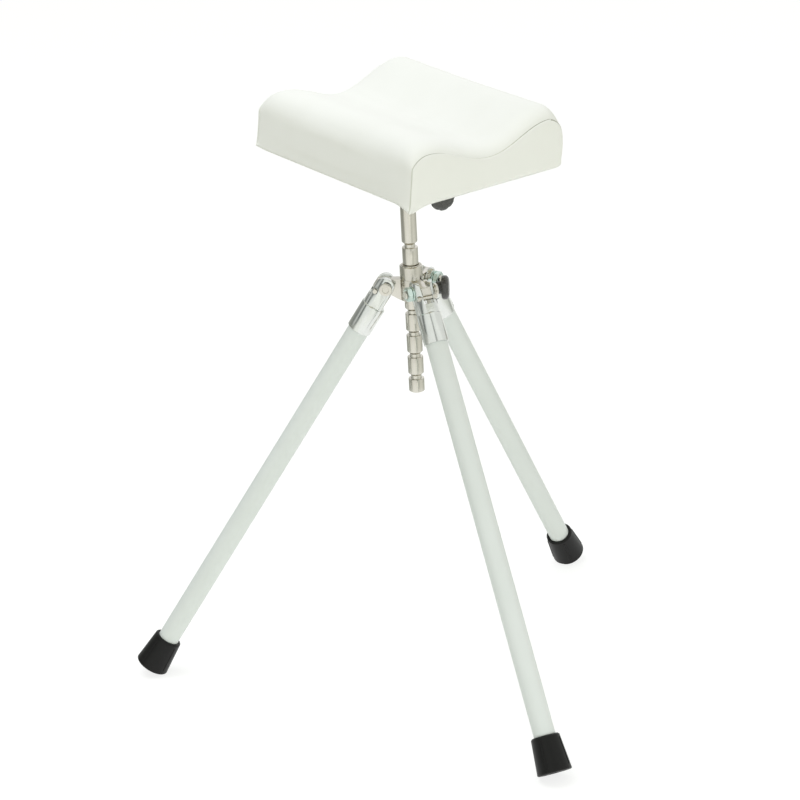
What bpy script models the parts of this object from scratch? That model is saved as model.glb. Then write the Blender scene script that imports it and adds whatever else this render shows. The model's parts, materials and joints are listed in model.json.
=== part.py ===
"""Pedicure footrest: a waved cushion on an indexed post, carried by a hub with three folding legs.

The row frame stands on the floor, +Z up, with the origin at the middle of the footprint's box.
The wave of the cushion runs along X (low crest at -X) and its sweep along Y (tilt knob at -Y).
"""

import math

import bmesh
import bpy
from mathutils import Vector

MM = 0.001
ROUND_SIDES = 32
SMALL_SIDES = 20
PIN_SIDES = 12
ARC_STEP = 15
SWELL_POINTS = 7
SHARP_ANGLE = 35
SOFT_ANGLE = 50

# Gap left between pieces that touch or run in each other
CLEAR = 0.3 * MM

# Leg: tube pressed into a fork, which swings on a lug of the hub
LEG_SPREAD = math.radians(32.84)
LEG_REACH = 495.9 * MM
PIVOT_RADIUS = 26 * MM
LEG_NAMES = ("front", "rear", "left")
FRONT_AZIMUTH = math.radians(259.2)
REAR_AZIMUTH = math.radians(383)
LEFT_AZIMUTH = math.radians(503.5)
TUBE_RADIUS = 11 * MM
TUBE_WALL = 1.5 * MM

# Fork casting: cup for the tube, and two ears either side of the lug
CUP_RADIUS = 12.6 * MM
CUP_TOP = 23.5 * MM
CUP_BOTTOM = 54.4 * MM
CUP_FLOOR = 6 * MM
CUP_BEAD = 1.4 * MM
EAR_INNER = 8.5 * MM
EAR_OUTER = 11 * MM
EAR_THICKNESS = 5.7 * MM
FORK_SLOT_DEPTH = 15 * MM

# Rubber foot
FOOT_LENGTH = 37.4 * MM
FOOT_TOP_RADIUS = 14.5 * MM
FOOT_RADIUS = 17.7 * MM
FOOT_EDGE = 2 * MM
FOOT_SOLE = 8 * MM
FOOT_FLAT = 0.8 * MM

# Pivot bolt, its nut and washer, and the stop pin across the ears
BOLT_RADIUS = 4 * MM
BOLT_HEAD_RADIUS = 6.6 * MM
BOLT_HEAD_HEIGHT = 4.2 * MM
BOLT_SOCKET_RADIUS = 3 * MM
BOLT_SOCKET_DEPTH = 1.6 * MM
BOLT_END = 1.2 * MM
NUT_FLATS = 13 * MM
NUT_HEIGHT = 5 * MM
WASHER_RADIUS = 7.6 * MM
WASHER_HEIGHT = 1.2 * MM
STOP_PIN_RADIUS = 2.5 * MM
STOP_PIN_DOWN = 8.3 * MM
STOP_PIN_OUT = 7.7 * MM

# Hub: bored sleeve, lug collar, three hooked lugs and a boss for the plunger; heights from the pivots
SLEEVE_RADIUS = 11.5 * MM
SLEEVE_TOP = 21.3 * MM
SLEEVE_BOTTOM = 14.6 * MM
COLLAR_RADIUS = 12.2 * MM
LUG_TOP = 7.4 * MM
LUG_THICKNESS = 10 * MM
LUG_NOSE = 12 * MM
LUG_SLOPE = 4 * MM
LUG_TIP = 1.5 * MM
LUG_EYE_RADIUS = 8 * MM
LUG_EYE_SWEEP = 110
LUG_ROOT = 14 * MM
HUB_WALL_IN = 1.6 * MM
BOSS_RADIUS = 8.5 * MM
BOSS_END = 16 * MM
HUB_CHAMFER = 1 * MM

# Guide bush in the top of the hub
BUSH_WALL = 1.2 * MM
BUSH_LENGTH = 12 * MM
BUSH_LIP = 0.6 * MM

# Post with its index grooves; heights from the pivots
POST_RADIUS = 8 * MM
POST_BOTTOM = 115 * MM
GROOVE_PITCH = 23.5 * MM
GROOVE_COUNT = 7
GROOVES_ABOVE = 2
GROOVE_NECK_RADIUS = 5.35 * MM
POST_CHAMFER = 1 * MM

# Index plunger; distances from the hub axis
PLUNGER_DROP = 4 * MM
PLUNGER_THREAD_RADIUS = 5 * MM
PLUNGER_PIN_RADIUS = 2.5 * MM
PLUNGER_TIP_RADIUS = 0.6 * MM
PLUNGER_STEM_RADIUS = 1.5 * MM
PLUNGER_COLLAR_RADIUS = 3.4 * MM
PLUNGER_COLLAR = 1 * MM
PLUNGER_CHAMBER_RADIUS = 4 * MM
PLUNGER_CHAMBER_START = 11 * MM
PLUNGER_CHAMBER_LENGTH = 9 * MM
PLUNGER_HEX_FLATS = 12 * MM
PLUNGER_HEX_START = 21 * MM
PLUNGER_HEX_LENGTH = 3.5 * MM
PLUNGER_NUT_FLATS = 16 * MM
PLUNGER_NUT_HEIGHT = 4.2 * MM
SPRING_WIRE = 0.35 * MM
SPRING_RADIUS = 2.75 * MM
SPRING_TURNS = 4
SPRING_TURN_POINTS = 10

# Mushroom knobs
HEIGHT_KNOB_RADIUS = 12.25 * MM
HEIGHT_KNOB_NECK = 5.2 * MM
TILT_KNOB_RADIUS = 14.3 * MM
TILT_KNOB_NECK = 12.9 * MM
KNOB_DISC = 8 * MM
KNOB_CROWN = ((0.5, 0.4 * MM), (0.85, 1.3 * MM), (1.0, 2.9 * MM))
KNOB_UNDER = 1.2 * MM
KNOB_NECK_RADIUS = 6.5 * MM
TILT_KNOB_LOBES = 8
TILT_KNOB_FLUTE = 0.9 * MM
KNOB_BLIND = 5 * MM

# Tilt joint under the cushion; the height is from the pivots
TILT_RISE = 108.1 * MM
TILT_TUBE_RADIUS = 10 * MM
TILT_TUBE_LENGTH = 80 * MM
TILT_EAR_RADIUS = 9 * MM
TILT_EAR_WIDTH = 34 * MM
TILT_EAR_PLATE = 3 * MM
TILT_FLANGE = 26 * MM
TILT_SCREW_SPREAD = 10 * MM
TILT_SCREW_OUT = 10 * MM
TILT_ROD_END = 3 * MM
TILT_ROD_CHAMFER = 0.6 * MM
SCREW_RADIUS = 2 * MM
SCREW_HEAD_RADIUS = 4 * MM
SCREW_HEAD_HEIGHT = 2.4 * MM
SCREW_BITE = 9 * MM

# Cushion: section across the wave (X from the post, Z from the cushion's underside) and its sweep
CUSHION_RISE = 26 * MM
CUSHION_LENGTH = 275 * MM
LOW_SIDE = -91 * MM
LOW_SHOULDER = -86 * MM
LOW_SIDE_HEIGHT = 33 * MM
LOW_CREST = -62 * MM
LOW_CREST_HEIGHT = 57 * MM
DIP = 5 * MM
DIP_HEIGHT = 40.5 * MM
HIGH_CREST = 80 * MM
HIGH_CREST_HEIGHT = 64 * MM
HIGH_SIDE = 97 * MM
HIGH_SIDE_HEIGHT = 31 * MM
BASE_LOW = -88 * MM
BASE_HIGH = 88 * MM
LOW_TUCK = 4 * MM
COVER_WALL = 1.2 * MM
COVER_HEM = 20 * MM
BOARD_THICKNESS = 12 * MM
BOARD_SIDE_MARGIN = 7 * MM
BOARD_END_MARGIN = 16 * MM
BOARD_CORNER = 8 * MM

# Rolled ends of the cushion: how far in from the end, and the share of the width and of the height
# there; the last value is the share of the lost height that is lost at the underside
END_STATIONS = (
    (0, 0.5, 0.5),
    (1.2 * MM, 0.86, 0.76),
    (3 * MM, 0.97, 0.83),
    (8 * MM, 0.985, 0.925),
    (15 * MM, 0.995, 0.98),
    (23 * MM, 1, 1),
)
END_LIFT = 0.25

# Values worked out from the sizes above
LEG_AZIMUTHS = [FRONT_AZIMUTH, REAR_AZIMUTH, LEFT_AZIMUTH]
PLUNGER_AZIMUTH = (FRONT_AZIMUTH + REAR_AZIMUTH) / 2
FOOT_RING = FOOT_RADIUS - FOOT_EDGE
FOOT_DROP = (LEG_REACH - FOOT_EDGE) * math.cos(LEG_SPREAD) + FOOT_RING * math.sin(LEG_SPREAD)
PIVOT_HEIGHT = FOOT_DROP + FOOT_EDGE - FOOT_FLAT
FORK_HALF = LUG_THICKNESS / 2 + CLEAR + EAR_THICKNESS
BORE_RADIUS = POST_RADIUS + CLEAR
BUSH_RADIUS = BORE_RADIUS + BUSH_WALL
GROOVE_STEP = POST_RADIUS - GROOVE_NECK_RADIUS
GROOVE_SHOULDER = PLUNGER_PIN_RADIUS + CLEAR
TILT_HEIGHT = PIVOT_HEIGHT + TILT_RISE
CUSHION_HEIGHT = TILT_HEIGHT + CUSHION_RISE
BOARD_HEIGHT = CUSHION_HEIGHT + COVER_WALL + CLEAR
FLANGE_TOP = BOARD_HEIGHT - CLEAR - TILT_HEIGHT
EAR_START = TILT_TUBE_LENGTH / 2 + CLEAR
EAR_END = EAR_START + TILT_EAR_PLATE
KNOB_START = PLUNGER_HEX_START + PLUNGER_HEX_LENGTH + CLEAR

# Finishes: colour, roughness and metallic value
FINISHES = {
    "white_vinyl": ((0.88, 0.89, 0.87), 0.45, 0.0),
    "plywood": ((0.62, 0.46, 0.28), 0.7, 0.0),
    "foam": ((0.85, 0.80, 0.62), 0.9, 0.0),
    "bright_steel": ((0.72, 0.71, 0.68), 0.22, 1.0),
    "zinc_steel": ((0.66, 0.69, 0.72), 0.3, 1.0),
    "cast_aluminium": ((0.80, 0.80, 0.79), 0.25, 1.0),
    "grey_paint": ((0.74, 0.77, 0.75), 0.35, 0.0),
    "black_rubber": ((0.02, 0.02, 0.02), 0.6, 0.0),
    "black_plastic": ((0.02, 0.02, 0.022), 0.3, 0.0),
}


def clear_scene():
    for item in list(bpy.data.objects):
        bpy.data.objects.remove(item, do_unlink=True)


def collection(name):
    group = bpy.data.collections.new(name)
    bpy.context.scene.collection.children.link(group)
    return group


def finish(name):
    found = bpy.data.materials.get(name)
    if found:
        return found
    colour, roughness, metallic = FINISHES[name]
    made = bpy.data.materials.new(name)
    made.use_nodes = True
    shader = made.node_tree.nodes["Principled BSDF"]
    shader.inputs["Base Color"].default_value = (*colour, 1.0)
    shader.inputs["Roughness"].default_value = roughness
    shader.inputs["Metallic"].default_value = metallic
    return made


def empty(name, parent=None, location=(0, 0, 0), rotation=(0, 0, 0)):
    made = bpy.data.objects.new(name, None)
    PARTS.objects.link(made)
    made.parent = parent
    made.location = location
    made.rotation_euler = rotation
    return made


def place(name, data, parent, look, location=(0, 0, 0), rotation=(0, 0, 0)):
    """A sub-part of the object, or a helper that cuts or joins when look is None."""
    made = bpy.data.objects.new(name, data)
    made.parent = parent
    made.location = location
    made.rotation_euler = rotation
    if look is None:
        CUTTERS.objects.link(made)
        made.hide_render = True
        made.display_type = "WIRE"
    else:
        PARTS.objects.link(made)
        data.materials.clear()
        data.materials.append(finish(look))
    return made


def turned(name, profile, parent, look, closed=False, sides=ROUND_SIDES, **where):
    """A profile of (radius, height) points, down its outer side, turned about local Z."""
    mesh = bpy.data.meshes.new(name)
    points = [(radius, 0, height) for radius, height in profile]
    edges = [(i, i + 1) for i in range(len(points) - 1)]
    if closed:
        edges.append((len(points) - 1, 0))
    mesh.from_pydata(points, edges, [])
    made = place(name, mesh, parent, look, **where)
    spin = made.modifiers.new("Turn", "SCREW")
    spin.steps = spin.render_steps = sides
    spin.use_merge_vertices = True
    spin.merge_threshold = 0.00001
    spin.use_smooth_shade = True
    return made


def rod(name, radius, low, high, parent, look, chamfer=0.0, sides=SMALL_SIDES, **where):
    """A round bar along local Z from low to high."""
    profile = [(0, high), (radius - chamfer, high), (radius, high - chamfer)]
    profile += [(radius, low + chamfer), (radius - chamfer, low), (0, low)]
    if not chamfer:
        profile = [(0, high), (radius, high), (radius, low), (0, low)]
    return turned(name, profile, parent, look, sides=sides, **where)


def ring(name, inner, outer, low, high, parent, look, sides=SMALL_SIDES, **where):
    """A plain round ring along local Z from low to high."""
    profile = [(outer, high), (outer, low), (inner, low), (inner, high)]
    return turned(name, profile, parent, look, closed=True, sides=sides, **where)


def hexagon(name, flats, low, high, parent, look, **where):
    """A hexagonal bar along local Z from low to high, with a width across its flats."""
    shape = bmesh.new()
    corner = flats / 2 / math.cos(math.pi / 6)
    bmesh.ops.create_cone(
        shape, cap_ends=True, segments=6, radius1=corner, radius2=corner, depth=high - low
    )
    bmesh.ops.translate(shape, verts=shape.verts, vec=(0, 0, (low + high) / 2))
    mesh = bpy.data.meshes.new(name)
    shape.to_mesh(mesh)
    shape.free()
    return place(name, mesh, parent, look, **where)


def block(name, low, high, parent, look, **where):
    """A box between two corners."""
    shape = bmesh.new()
    bmesh.ops.create_cube(shape, size=1)
    size = Vector(high) - Vector(low)
    bmesh.ops.scale(shape, verts=shape.verts, vec=size)
    bmesh.ops.translate(shape, verts=shape.verts, vec=(Vector(low) + Vector(high)) / 2)
    mesh = bpy.data.meshes.new(name)
    shape.to_mesh(mesh)
    shape.free()
    return place(name, mesh, parent, look, **where)


def plate(name, outline, thickness, parent, look, **where):
    """A flat outline in local XY, with half its thickness either side, as a welded mesh."""
    curve = bpy.data.curves.new(name, "CURVE")
    curve.dimensions = "2D"
    curve.fill_mode = "BOTH"
    curve.extrude = thickness / 2
    line = curve.splines.new("POLY")
    line.points.add(len(outline) - 1)
    for point, (x, y) in zip(line.points, outline):
        point.co = (x, y, 0, 1)
    line.use_cyclic_u = True
    guide = bpy.data.objects.new(name + "_outline", curve)
    CUTTERS.objects.link(guide)
    mesh = evaluated_mesh(guide)
    bpy.data.objects.remove(guide, do_unlink=True)
    shape = bmesh.new()
    shape.from_mesh(mesh)
    bmesh.ops.remove_doubles(shape, verts=shape.verts, dist=0.000001)
    bmesh.ops.recalc_face_normals(shape, faces=shape.faces)
    shape.to_mesh(mesh)
    shape.free()
    return place(name, mesh, parent, look, **where)


def evaluated_mesh(item):
    bpy.context.view_layer.update()
    graph = bpy.context.evaluated_depsgraph_get()
    return bpy.data.meshes.new_from_object(item.evaluated_get(graph))


def combine(item, operation, *others):
    for other in others:
        step = item.modifiers.new(operation.title(), "BOOLEAN")
        step.operation = operation
        step.object = other
        step.solver = "EXACT"


def applied(item):
    """The item with its modifiers made into its mesh, and the helpers that shaped it removed."""
    helpers = [step.object for step in item.modifiers if step.type == "BOOLEAN"]
    mesh = evaluated_mesh(item)
    item.modifiers.clear()
    item.data = mesh
    for helper in helpers:
        bpy.data.objects.remove(helper, do_unlink=True)
    return item


def shade(item, degrees=SHARP_ANGLE):
    item.data.shade_smooth()
    item.data.set_sharp_from_angle(angle=math.radians(degrees))


def arc(centre, radius, start, end, squash=1.0):
    """Points on an arc between two angles; squash stretches its second axis into an ellipse."""
    count = math.ceil(abs(end - start) / ARC_STEP)
    angles = [math.radians(start + (end - start) * i / count) for i in range(count + 1)]
    return [
        (centre[0] + radius * math.cos(a), centre[1] + radius * squash * math.sin(a)) for a in angles
    ]


def hub_offset():
    """Where the hub's axis stands, so that the box round the three feet is centred on the origin."""
    ends = []
    for axis in (Vector((1, 0, 0)), Vector((0, 1, 0))):
        reaches = []
        for side in (1, -1):
            reach = 0
            for azimuth in LEG_AZIMUTHS:
                outward = Vector((math.cos(azimuth), math.sin(azimuth), 0))
                down = outward * math.sin(LEG_SPREAD) - Vector((0, 0, math.cos(LEG_SPREAD)))
                middle = outward * PIVOT_RADIUS + down * (LEG_REACH - FOOT_EDGE)
                along = side * axis.dot(down)
                edge = FOOT_RING * math.sqrt(1 - along * along) + FOOT_EDGE
                reach = max(reach, side * axis.dot(middle) + edge)
            reaches.append(side * reach)
        ends.append(-sum(reaches) / 2)
    return (*ends, 0)


def lug_outline():
    """A hooked lug in the plane of its leg, from the leg's pivot: outward, up."""
    pin_height = STOP_PIN_OUT * math.sin(LEG_SPREAD) - STOP_PIN_DOWN * math.cos(LEG_SPREAD)
    nose_under = pin_height + STOP_PIN_RADIUS + CLEAR
    inside = BORE_RADIUS + HUB_WALL_IN - PIVOT_RADIUS
    outline = [(inside, LUG_TOP), (LUG_NOSE - LUG_SLOPE, LUG_TOP)]
    outline += [(LUG_NOSE, LUG_TIP), (LUG_NOSE, nose_under)]
    meet = math.degrees(math.asin(nose_under / LUG_EYE_RADIUS))
    outline += arc((0, 0), LUG_EYE_RADIUS, meet, -LUG_EYE_SWEEP)
    outline += [(-LUG_ROOT, -SLEEVE_BOTTOM), (inside, -SLEEVE_BOTTOM)]
    return outline


def make_hub(root):
    """Sleeve, collar, lugs and boss as one machined and welded piece."""
    bush_floor = SLEEVE_TOP - BUSH_LENGTH
    bush_seat = BUSH_RADIUS + CLEAR
    profile = [(SLEEVE_RADIUS - HUB_CHAMFER, SLEEVE_TOP), (SLEEVE_RADIUS, SLEEVE_TOP - HUB_CHAMFER)]
    profile += [(SLEEVE_RADIUS, LUG_TOP), (COLLAR_RADIUS, LUG_TOP), (COLLAR_RADIUS, -SLEEVE_BOTTOM)]
    profile += [(BORE_RADIUS, -SLEEVE_BOTTOM), (BORE_RADIUS, bush_floor), (bush_seat, bush_floor)]
    profile += [(bush_seat, SLEEVE_TOP)]
    hub = turned("hub", profile, root, "bright_steel", closed=True, location=(0, 0, PIVOT_HEIGHT))
    for name, azimuth in zip(LEG_NAMES, LEG_AZIMUTHS):
        pivot = (PIVOT_RADIUS * math.cos(azimuth), PIVOT_RADIUS * math.sin(azimuth), PIVOT_HEIGHT)
        turn = (math.pi / 2, 0, azimuth)
        lug = plate(
            "lug_" + name, lug_outline(), LUG_THICKNESS, root, None, location=pivot, rotation=turn
        )
        eye = rod(
            "eye_" + name, BOLT_RADIUS + CLEAR, -FORK_HALF, FORK_HALF, root, None,
            location=pivot, rotation=turn,
        )
        combine(hub, "UNION", lug)
        combine(hub, "DIFFERENCE", eye)
    spot = (0, 0, PIVOT_HEIGHT - PLUNGER_DROP)
    turn = (0, math.pi / 2, PLUNGER_AZIMUTH)
    boss = rod(
        "boss", BOSS_RADIUS, BORE_RADIUS + HUB_WALL_IN, BOSS_END, root, None,
        chamfer=HUB_CHAMFER, location=spot, rotation=turn,
    )
    thread = rod(
        "boss_bore", PLUNGER_THREAD_RADIUS + CLEAR, POST_RADIUS / 2, 2 * BOSS_END, root, None,
        location=spot, rotation=turn,
    )
    combine(hub, "UNION", boss)
    combine(hub, "DIFFERENCE", thread)
    shade(applied(hub))


def make_bush(root):
    high = SLEEVE_TOP + BUSH_LIP
    low = SLEEVE_TOP - BUSH_LENGTH + CLEAR
    ring(
        "guide_bush", BORE_RADIUS, BUSH_RADIUS, low, high, root, "bright_steel",
        sides=ROUND_SIDES, location=(0, 0, PIVOT_HEIGHT),
    )


def groove(pin_height):
    """Profile points of one index groove: a cone above, a square shoulder below."""
    cone = pin_height + PLUNGER_TIP_RADIUS
    shoulder = pin_height - GROOVE_SHOULDER
    return [
        (POST_RADIUS, cone + GROOVE_STEP),
        (GROOVE_NECK_RADIUS, cone),
        (GROOVE_NECK_RADIUS, shoulder),
        (POST_RADIUS, shoulder),
    ]


def make_post(root):
    """Round bar with index grooves, coped at the top to fit the tilt tube."""
    profile = [(0, TILT_RISE), (POST_RADIUS, TILT_RISE)]
    for i in range(GROOVE_COUNT):
        profile += groove((GROOVES_ABOVE - i) * GROOVE_PITCH - PLUNGER_DROP)
    profile += [(POST_RADIUS, POST_CHAMFER - POST_BOTTOM), (POST_RADIUS - POST_CHAMFER, -POST_BOTTOM)]
    profile.append((0, -POST_BOTTOM))
    post = turned("post", profile, root, "bright_steel", location=(0, 0, PIVOT_HEIGHT))
    cope = rod(
        "post_cope", TILT_TUBE_RADIUS + CLEAR, -TILT_TUBE_LENGTH, TILT_TUBE_LENGTH, root, None,
        sides=ROUND_SIDES, location=(0, 0, TILT_HEIGHT), rotation=(-math.pi / 2, 0, 0),
    )
    combine(post, "DIFFERENCE", cope)
    shade(applied(post))


def knob_profile(radius, start, neck):
    """Mushroom knob from its crown down to the end of its neck, and the floor of the neck's blind hole."""
    disc = start + neck
    top = disc + KNOB_DISC
    profile = [(0, top)]
    profile += [(radius * share, top - drop) for share, drop in KNOB_CROWN]
    profile += [(radius, disc + KNOB_UNDER), (radius - KNOB_UNDER, disc)]
    profile += [(KNOB_NECK_RADIUS, disc), (KNOB_NECK_RADIUS, start)]
    return profile, top - KNOB_BLIND


def make_plunger(root):
    """Index plunger in the boss: housing, lock nut, spring, pin and pull knob, along local Z."""
    axis = empty(
        "plunger_axis", root, (0, 0, PIVOT_HEIGHT - PLUNGER_DROP), (0, math.pi / 2, PLUNGER_AZIMUTH)
    )
    chamber_end = PLUNGER_CHAMBER_START + PLUNGER_CHAMBER_LENGTH
    hex_end = PLUNGER_HEX_START + PLUNGER_HEX_LENGTH
    body_start = BORE_RADIUS + CLEAR
    stem_hole = PLUNGER_STEM_RADIUS + CLEAR
    pin_hole = PLUNGER_PIN_RADIUS + CLEAR
    body = rod("plunger_housing", PLUNGER_THREAD_RADIUS, body_start, hex_end, axis, "zinc_steel")
    head = hexagon("housing_hex", PLUNGER_HEX_FLATS, PLUNGER_HEX_START, hex_end, axis, None)
    profile = [(0, 2 * hex_end), (stem_hole, 2 * hex_end), (stem_hole, chamber_end)]
    profile += [(PLUNGER_CHAMBER_RADIUS, chamber_end), (PLUNGER_CHAMBER_RADIUS, PLUNGER_CHAMBER_START)]
    profile += [(pin_hole, PLUNGER_CHAMBER_START), (pin_hole, 0), (0, 0)]
    inside = turned("housing_bore", profile, axis, None, sides=SMALL_SIDES)
    combine(body, "UNION", head)
    combine(body, "DIFFERENCE", inside)
    shade(applied(body))

    nut_start = BOSS_END + CLEAR
    nut = hexagon(
        "plunger_nut", PLUNGER_NUT_FLATS, nut_start, nut_start + PLUNGER_NUT_HEIGHT, axis, "zinc_steel"
    )
    tap = rod("nut_bore", PLUNGER_THREAD_RADIUS + CLEAR, 0, 2 * hex_end, axis, None)
    combine(nut, "DIFFERENCE", tap)
    shade(applied(nut))

    knob_shape, knob_floor = knob_profile(HEIGHT_KNOB_RADIUS, KNOB_START, HEIGHT_KNOB_NECK)
    knob_shape += [(stem_hole, KNOB_START), (stem_hole, knob_floor), (0, knob_floor)]
    turned("height_knob", knob_shape, axis, "black_plastic")

    tip = GROOVE_NECK_RADIUS + CLEAR
    cone = tip + PLUNGER_PIN_RADIUS - PLUNGER_TIP_RADIUS
    collar = PLUNGER_CHAMBER_START + CLEAR
    collar_end = collar + PLUNGER_COLLAR
    stem_end = knob_floor - CLEAR
    profile = [(0, stem_end), (PLUNGER_STEM_RADIUS, stem_end), (PLUNGER_STEM_RADIUS, collar_end)]
    profile += [(PLUNGER_COLLAR_RADIUS, collar_end), (PLUNGER_COLLAR_RADIUS, collar)]
    profile += [(PLUNGER_PIN_RADIUS, collar), (PLUNGER_PIN_RADIUS, cone)]
    profile += [(PLUNGER_TIP_RADIUS, tip), (0, tip)]
    turned("plunger_pin", profile, axis, "zinc_steel", sides=SMALL_SIDES)

    low = collar_end + CLEAR + SPRING_WIRE
    high = chamber_end - CLEAR - SPRING_WIRE
    make_spring(axis, low, high)


def make_spring(axis, low, high):
    count = SPRING_TURNS * SPRING_TURN_POINTS
    curve = bpy.data.curves.new("plunger_spring", "CURVE")
    curve.dimensions = "3D"
    curve.bevel_depth = SPRING_WIRE
    curve.bevel_resolution = 1
    curve.use_fill_caps = True
    line = curve.splines.new("POLY")
    line.points.add(count)
    for i, point in enumerate(line.points):
        angle = math.tau * i / SPRING_TURN_POINTS
        height = low + (high - low) * i / count
        point.co = (SPRING_RADIUS * math.cos(angle), SPRING_RADIUS * math.sin(angle), height, 1)
    place("plunger_spring", curve, axis, "zinc_steel")


def make_tilt(root):
    """Cross tube on the post, two angle ears under the board, and the clamp rod with its knob."""
    axis = empty("tilt_axis", root, (0, 0, TILT_HEIGHT), (-math.pi / 2, 0, 0))
    hole = BOLT_RADIUS + CLEAR
    half = TILT_TUBE_LENGTH / 2
    ring("tilt_tube", hole, TILT_TUBE_RADIUS, -half, half, axis, "bright_steel", sides=ROUND_SIDES)

    for name, side in (("near", -1), ("far", 1)):
        make_ear(root, name, side)
        start = EAR_END + CLEAR
        ends = sorted((side * start, side * (start + WASHER_HEIGHT)))
        ring("tilt_washer_" + name, hole, WASHER_RADIUS, *ends, axis, "zinc_steel")

    clamp = EAR_END + CLEAR + WASHER_HEIGHT + CLEAR
    nut_end = clamp + NUT_HEIGHT
    nut = hexagon("tilt_nut", NUT_FLATS, clamp, nut_end, axis, "zinc_steel")
    tap = rod("tilt_nut_bore", hole, -nut_end, 2 * nut_end, axis, None)
    combine(nut, "DIFFERENCE", tap)
    shade(applied(nut))

    profile, floor = knob_profile(TILT_KNOB_RADIUS, clamp, TILT_KNOB_NECK)
    profile += [(hole, clamp), (hole, floor), (0, floor)]
    knob = turned(
        "tilt_knob", profile, axis, "black_plastic", sides=4 * TILT_KNOB_LOBES, rotation=(math.pi, 0, 0)
    )
    grip = TILT_KNOB_RADIUS - TILT_KNOB_FLUTE
    flute = grip * math.tan(math.pi / TILT_KNOB_LOBES / 2)
    for i in range(TILT_KNOB_LOBES):
        angle = math.tau * (i + 0.5) / TILT_KNOB_LOBES
        spot = ((grip + flute) * math.cos(angle), (grip + flute) * math.sin(angle), 0)
        cutter = rod(f"flute_{i}", flute, -2 * floor, 0, axis, None, sides=PIN_SIDES, location=spot)
        combine(knob, "DIFFERENCE", cutter)
    shade(applied(knob))
    rod_end = nut_end + TILT_ROD_END
    rod("tilt_rod", BOLT_RADIUS, CLEAR - floor, rod_end, axis, "zinc_steel", chamfer=TILT_ROD_CHAMFER)


def make_ear(root, name, side):
    """Angle bracket: an ear round the tilt axis, bent out into a flange held by two screws."""
    half_width = TILT_EAR_WIDTH / 2
    outline = arc((0, 0), TILT_EAR_RADIUS, 180, 360)
    outline += [(half_width, FLANGE_TOP - TILT_EAR_PLATE), (half_width, FLANGE_TOP)]
    outline += [(-half_width, FLANGE_TOP), (-half_width, FLANGE_TOP - TILT_EAR_PLATE)]
    middle = side * (EAR_START + EAR_END) / 2
    ear = plate(
        "tilt_ear_" + name, outline, TILT_EAR_PLATE, root, "zinc_steel",
        location=(0, middle, TILT_HEIGHT), rotation=(math.pi / 2, 0, 0),
    )
    near, far = sorted((side * (EAR_START + CLEAR), side * (EAR_START + TILT_FLANGE)))
    flange = block(
        "flange_" + name,
        (-half_width, near, FLANGE_TOP - TILT_EAR_PLATE), (half_width, far, FLANGE_TOP), root, None,
        location=(0, 0, TILT_HEIGHT),
    )
    hole = rod(
        "ear_hole_" + name, BOLT_RADIUS + CLEAR, -TILT_TUBE_LENGTH, TILT_TUBE_LENGTH, root, None,
        location=(0, 0, TILT_HEIGHT), rotation=(-math.pi / 2, 0, 0),
    )
    combine(ear, "UNION", flange)
    combine(ear, "DIFFERENCE", hole)
    for hand, x in (("left", -TILT_SCREW_SPREAD), ("right", TILT_SCREW_SPREAD)):
        spot = (x, side * (EAR_END + TILT_SCREW_OUT), TILT_HEIGHT)
        combine(ear, "DIFFERENCE", screw_hole(root, f"{name}_{hand}", spot))
        make_screw(root, f"ear_screw_{name}_{hand}", spot)
    shade(applied(ear))


def screw_hole(root, name, spot):
    return rod(
        "screw_hole_" + name, SCREW_RADIUS + CLEAR, 0, screw_top() + CLEAR, root, None,
        sides=PIN_SIDES, location=spot,
    )


def screw_top():
    return FLANGE_TOP + CLEAR + SCREW_BITE


def make_screw(root, name, spot):
    seat = FLANGE_TOP - TILT_EAR_PLATE - CLEAR
    under = seat - SCREW_HEAD_HEIGHT
    profile = [(0, screw_top()), (SCREW_RADIUS, screw_top() - SCREW_RADIUS), (SCREW_RADIUS, seat)]
    profile += [(SCREW_HEAD_RADIUS, seat), (SCREW_HEAD_RADIUS, seat - SCREW_HEAD_HEIGHT / 3)]
    profile += [(SCREW_HEAD_RADIUS / 2, under), (0, under)]
    turned(name, profile, root, "zinc_steel", sides=PIN_SIDES, location=spot)


def wave_section(inset=0.0):
    """The cushion's section (across, up), counter-clockwise, drawn in by an even inset."""
    points = [(BASE_LOW, 0), (0, 0), (BASE_HIGH, 0)]
    tuck = HIGH_SIDE - BASE_HIGH
    points += arc((BASE_HIGH, HIGH_SIDE_HEIGHT), tuck, -60, 0, HIGH_SIDE_HEIGHT / tuck)
    bulge = HIGH_SIDE - HIGH_CREST
    lift = HIGH_CREST_HEIGHT - HIGH_SIDE_HEIGHT
    points += arc((HIGH_CREST, HIGH_SIDE_HEIGHT), bulge, 15, 90, lift / bulge)
    points += swell((HIGH_CREST, HIGH_CREST_HEIGHT), (DIP, DIP_HEIGHT))
    points += swell((DIP, DIP_HEIGHT), (LOW_CREST, LOW_CREST_HEIGHT))
    bulge = LOW_CREST - LOW_SHOULDER
    lift = LOW_CREST_HEIGHT - LOW_SIDE_HEIGHT
    points += arc((LOW_CREST, LOW_SIDE_HEIGHT), bulge, 105, 180, lift / bulge)
    points.append((LOW_SIDE, LOW_TUCK))
    if not inset:
        return points
    moved = []
    for i, here in enumerate(points):
        before = Vector(points[i - 1])
        after = Vector(points[(i + 1) % len(points)])
        first = (Vector(here) - before).normalized()
        second = (after - Vector(here)).normalized()
        along = (first + second).normalized()
        reach = inset / max(along.dot(first), 0.5)
        moved.append(Vector(here) + Vector((-along.y, along.x)) * reach)
    return [tuple(point) for point in moved]


def swell(start, end):
    """A smooth rise or fall between two crests, level at both, without its first point."""
    points = []
    for i in range(1, SWELL_POINTS + 1):
        share = i / SWELL_POINTS
        ease = (1 - math.cos(math.pi * share)) / 2
        across = start[0] + (end[0] - start[0]) * share
        points.append((across, start[1] + (end[1] - start[1]) * ease))
    return points


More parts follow.
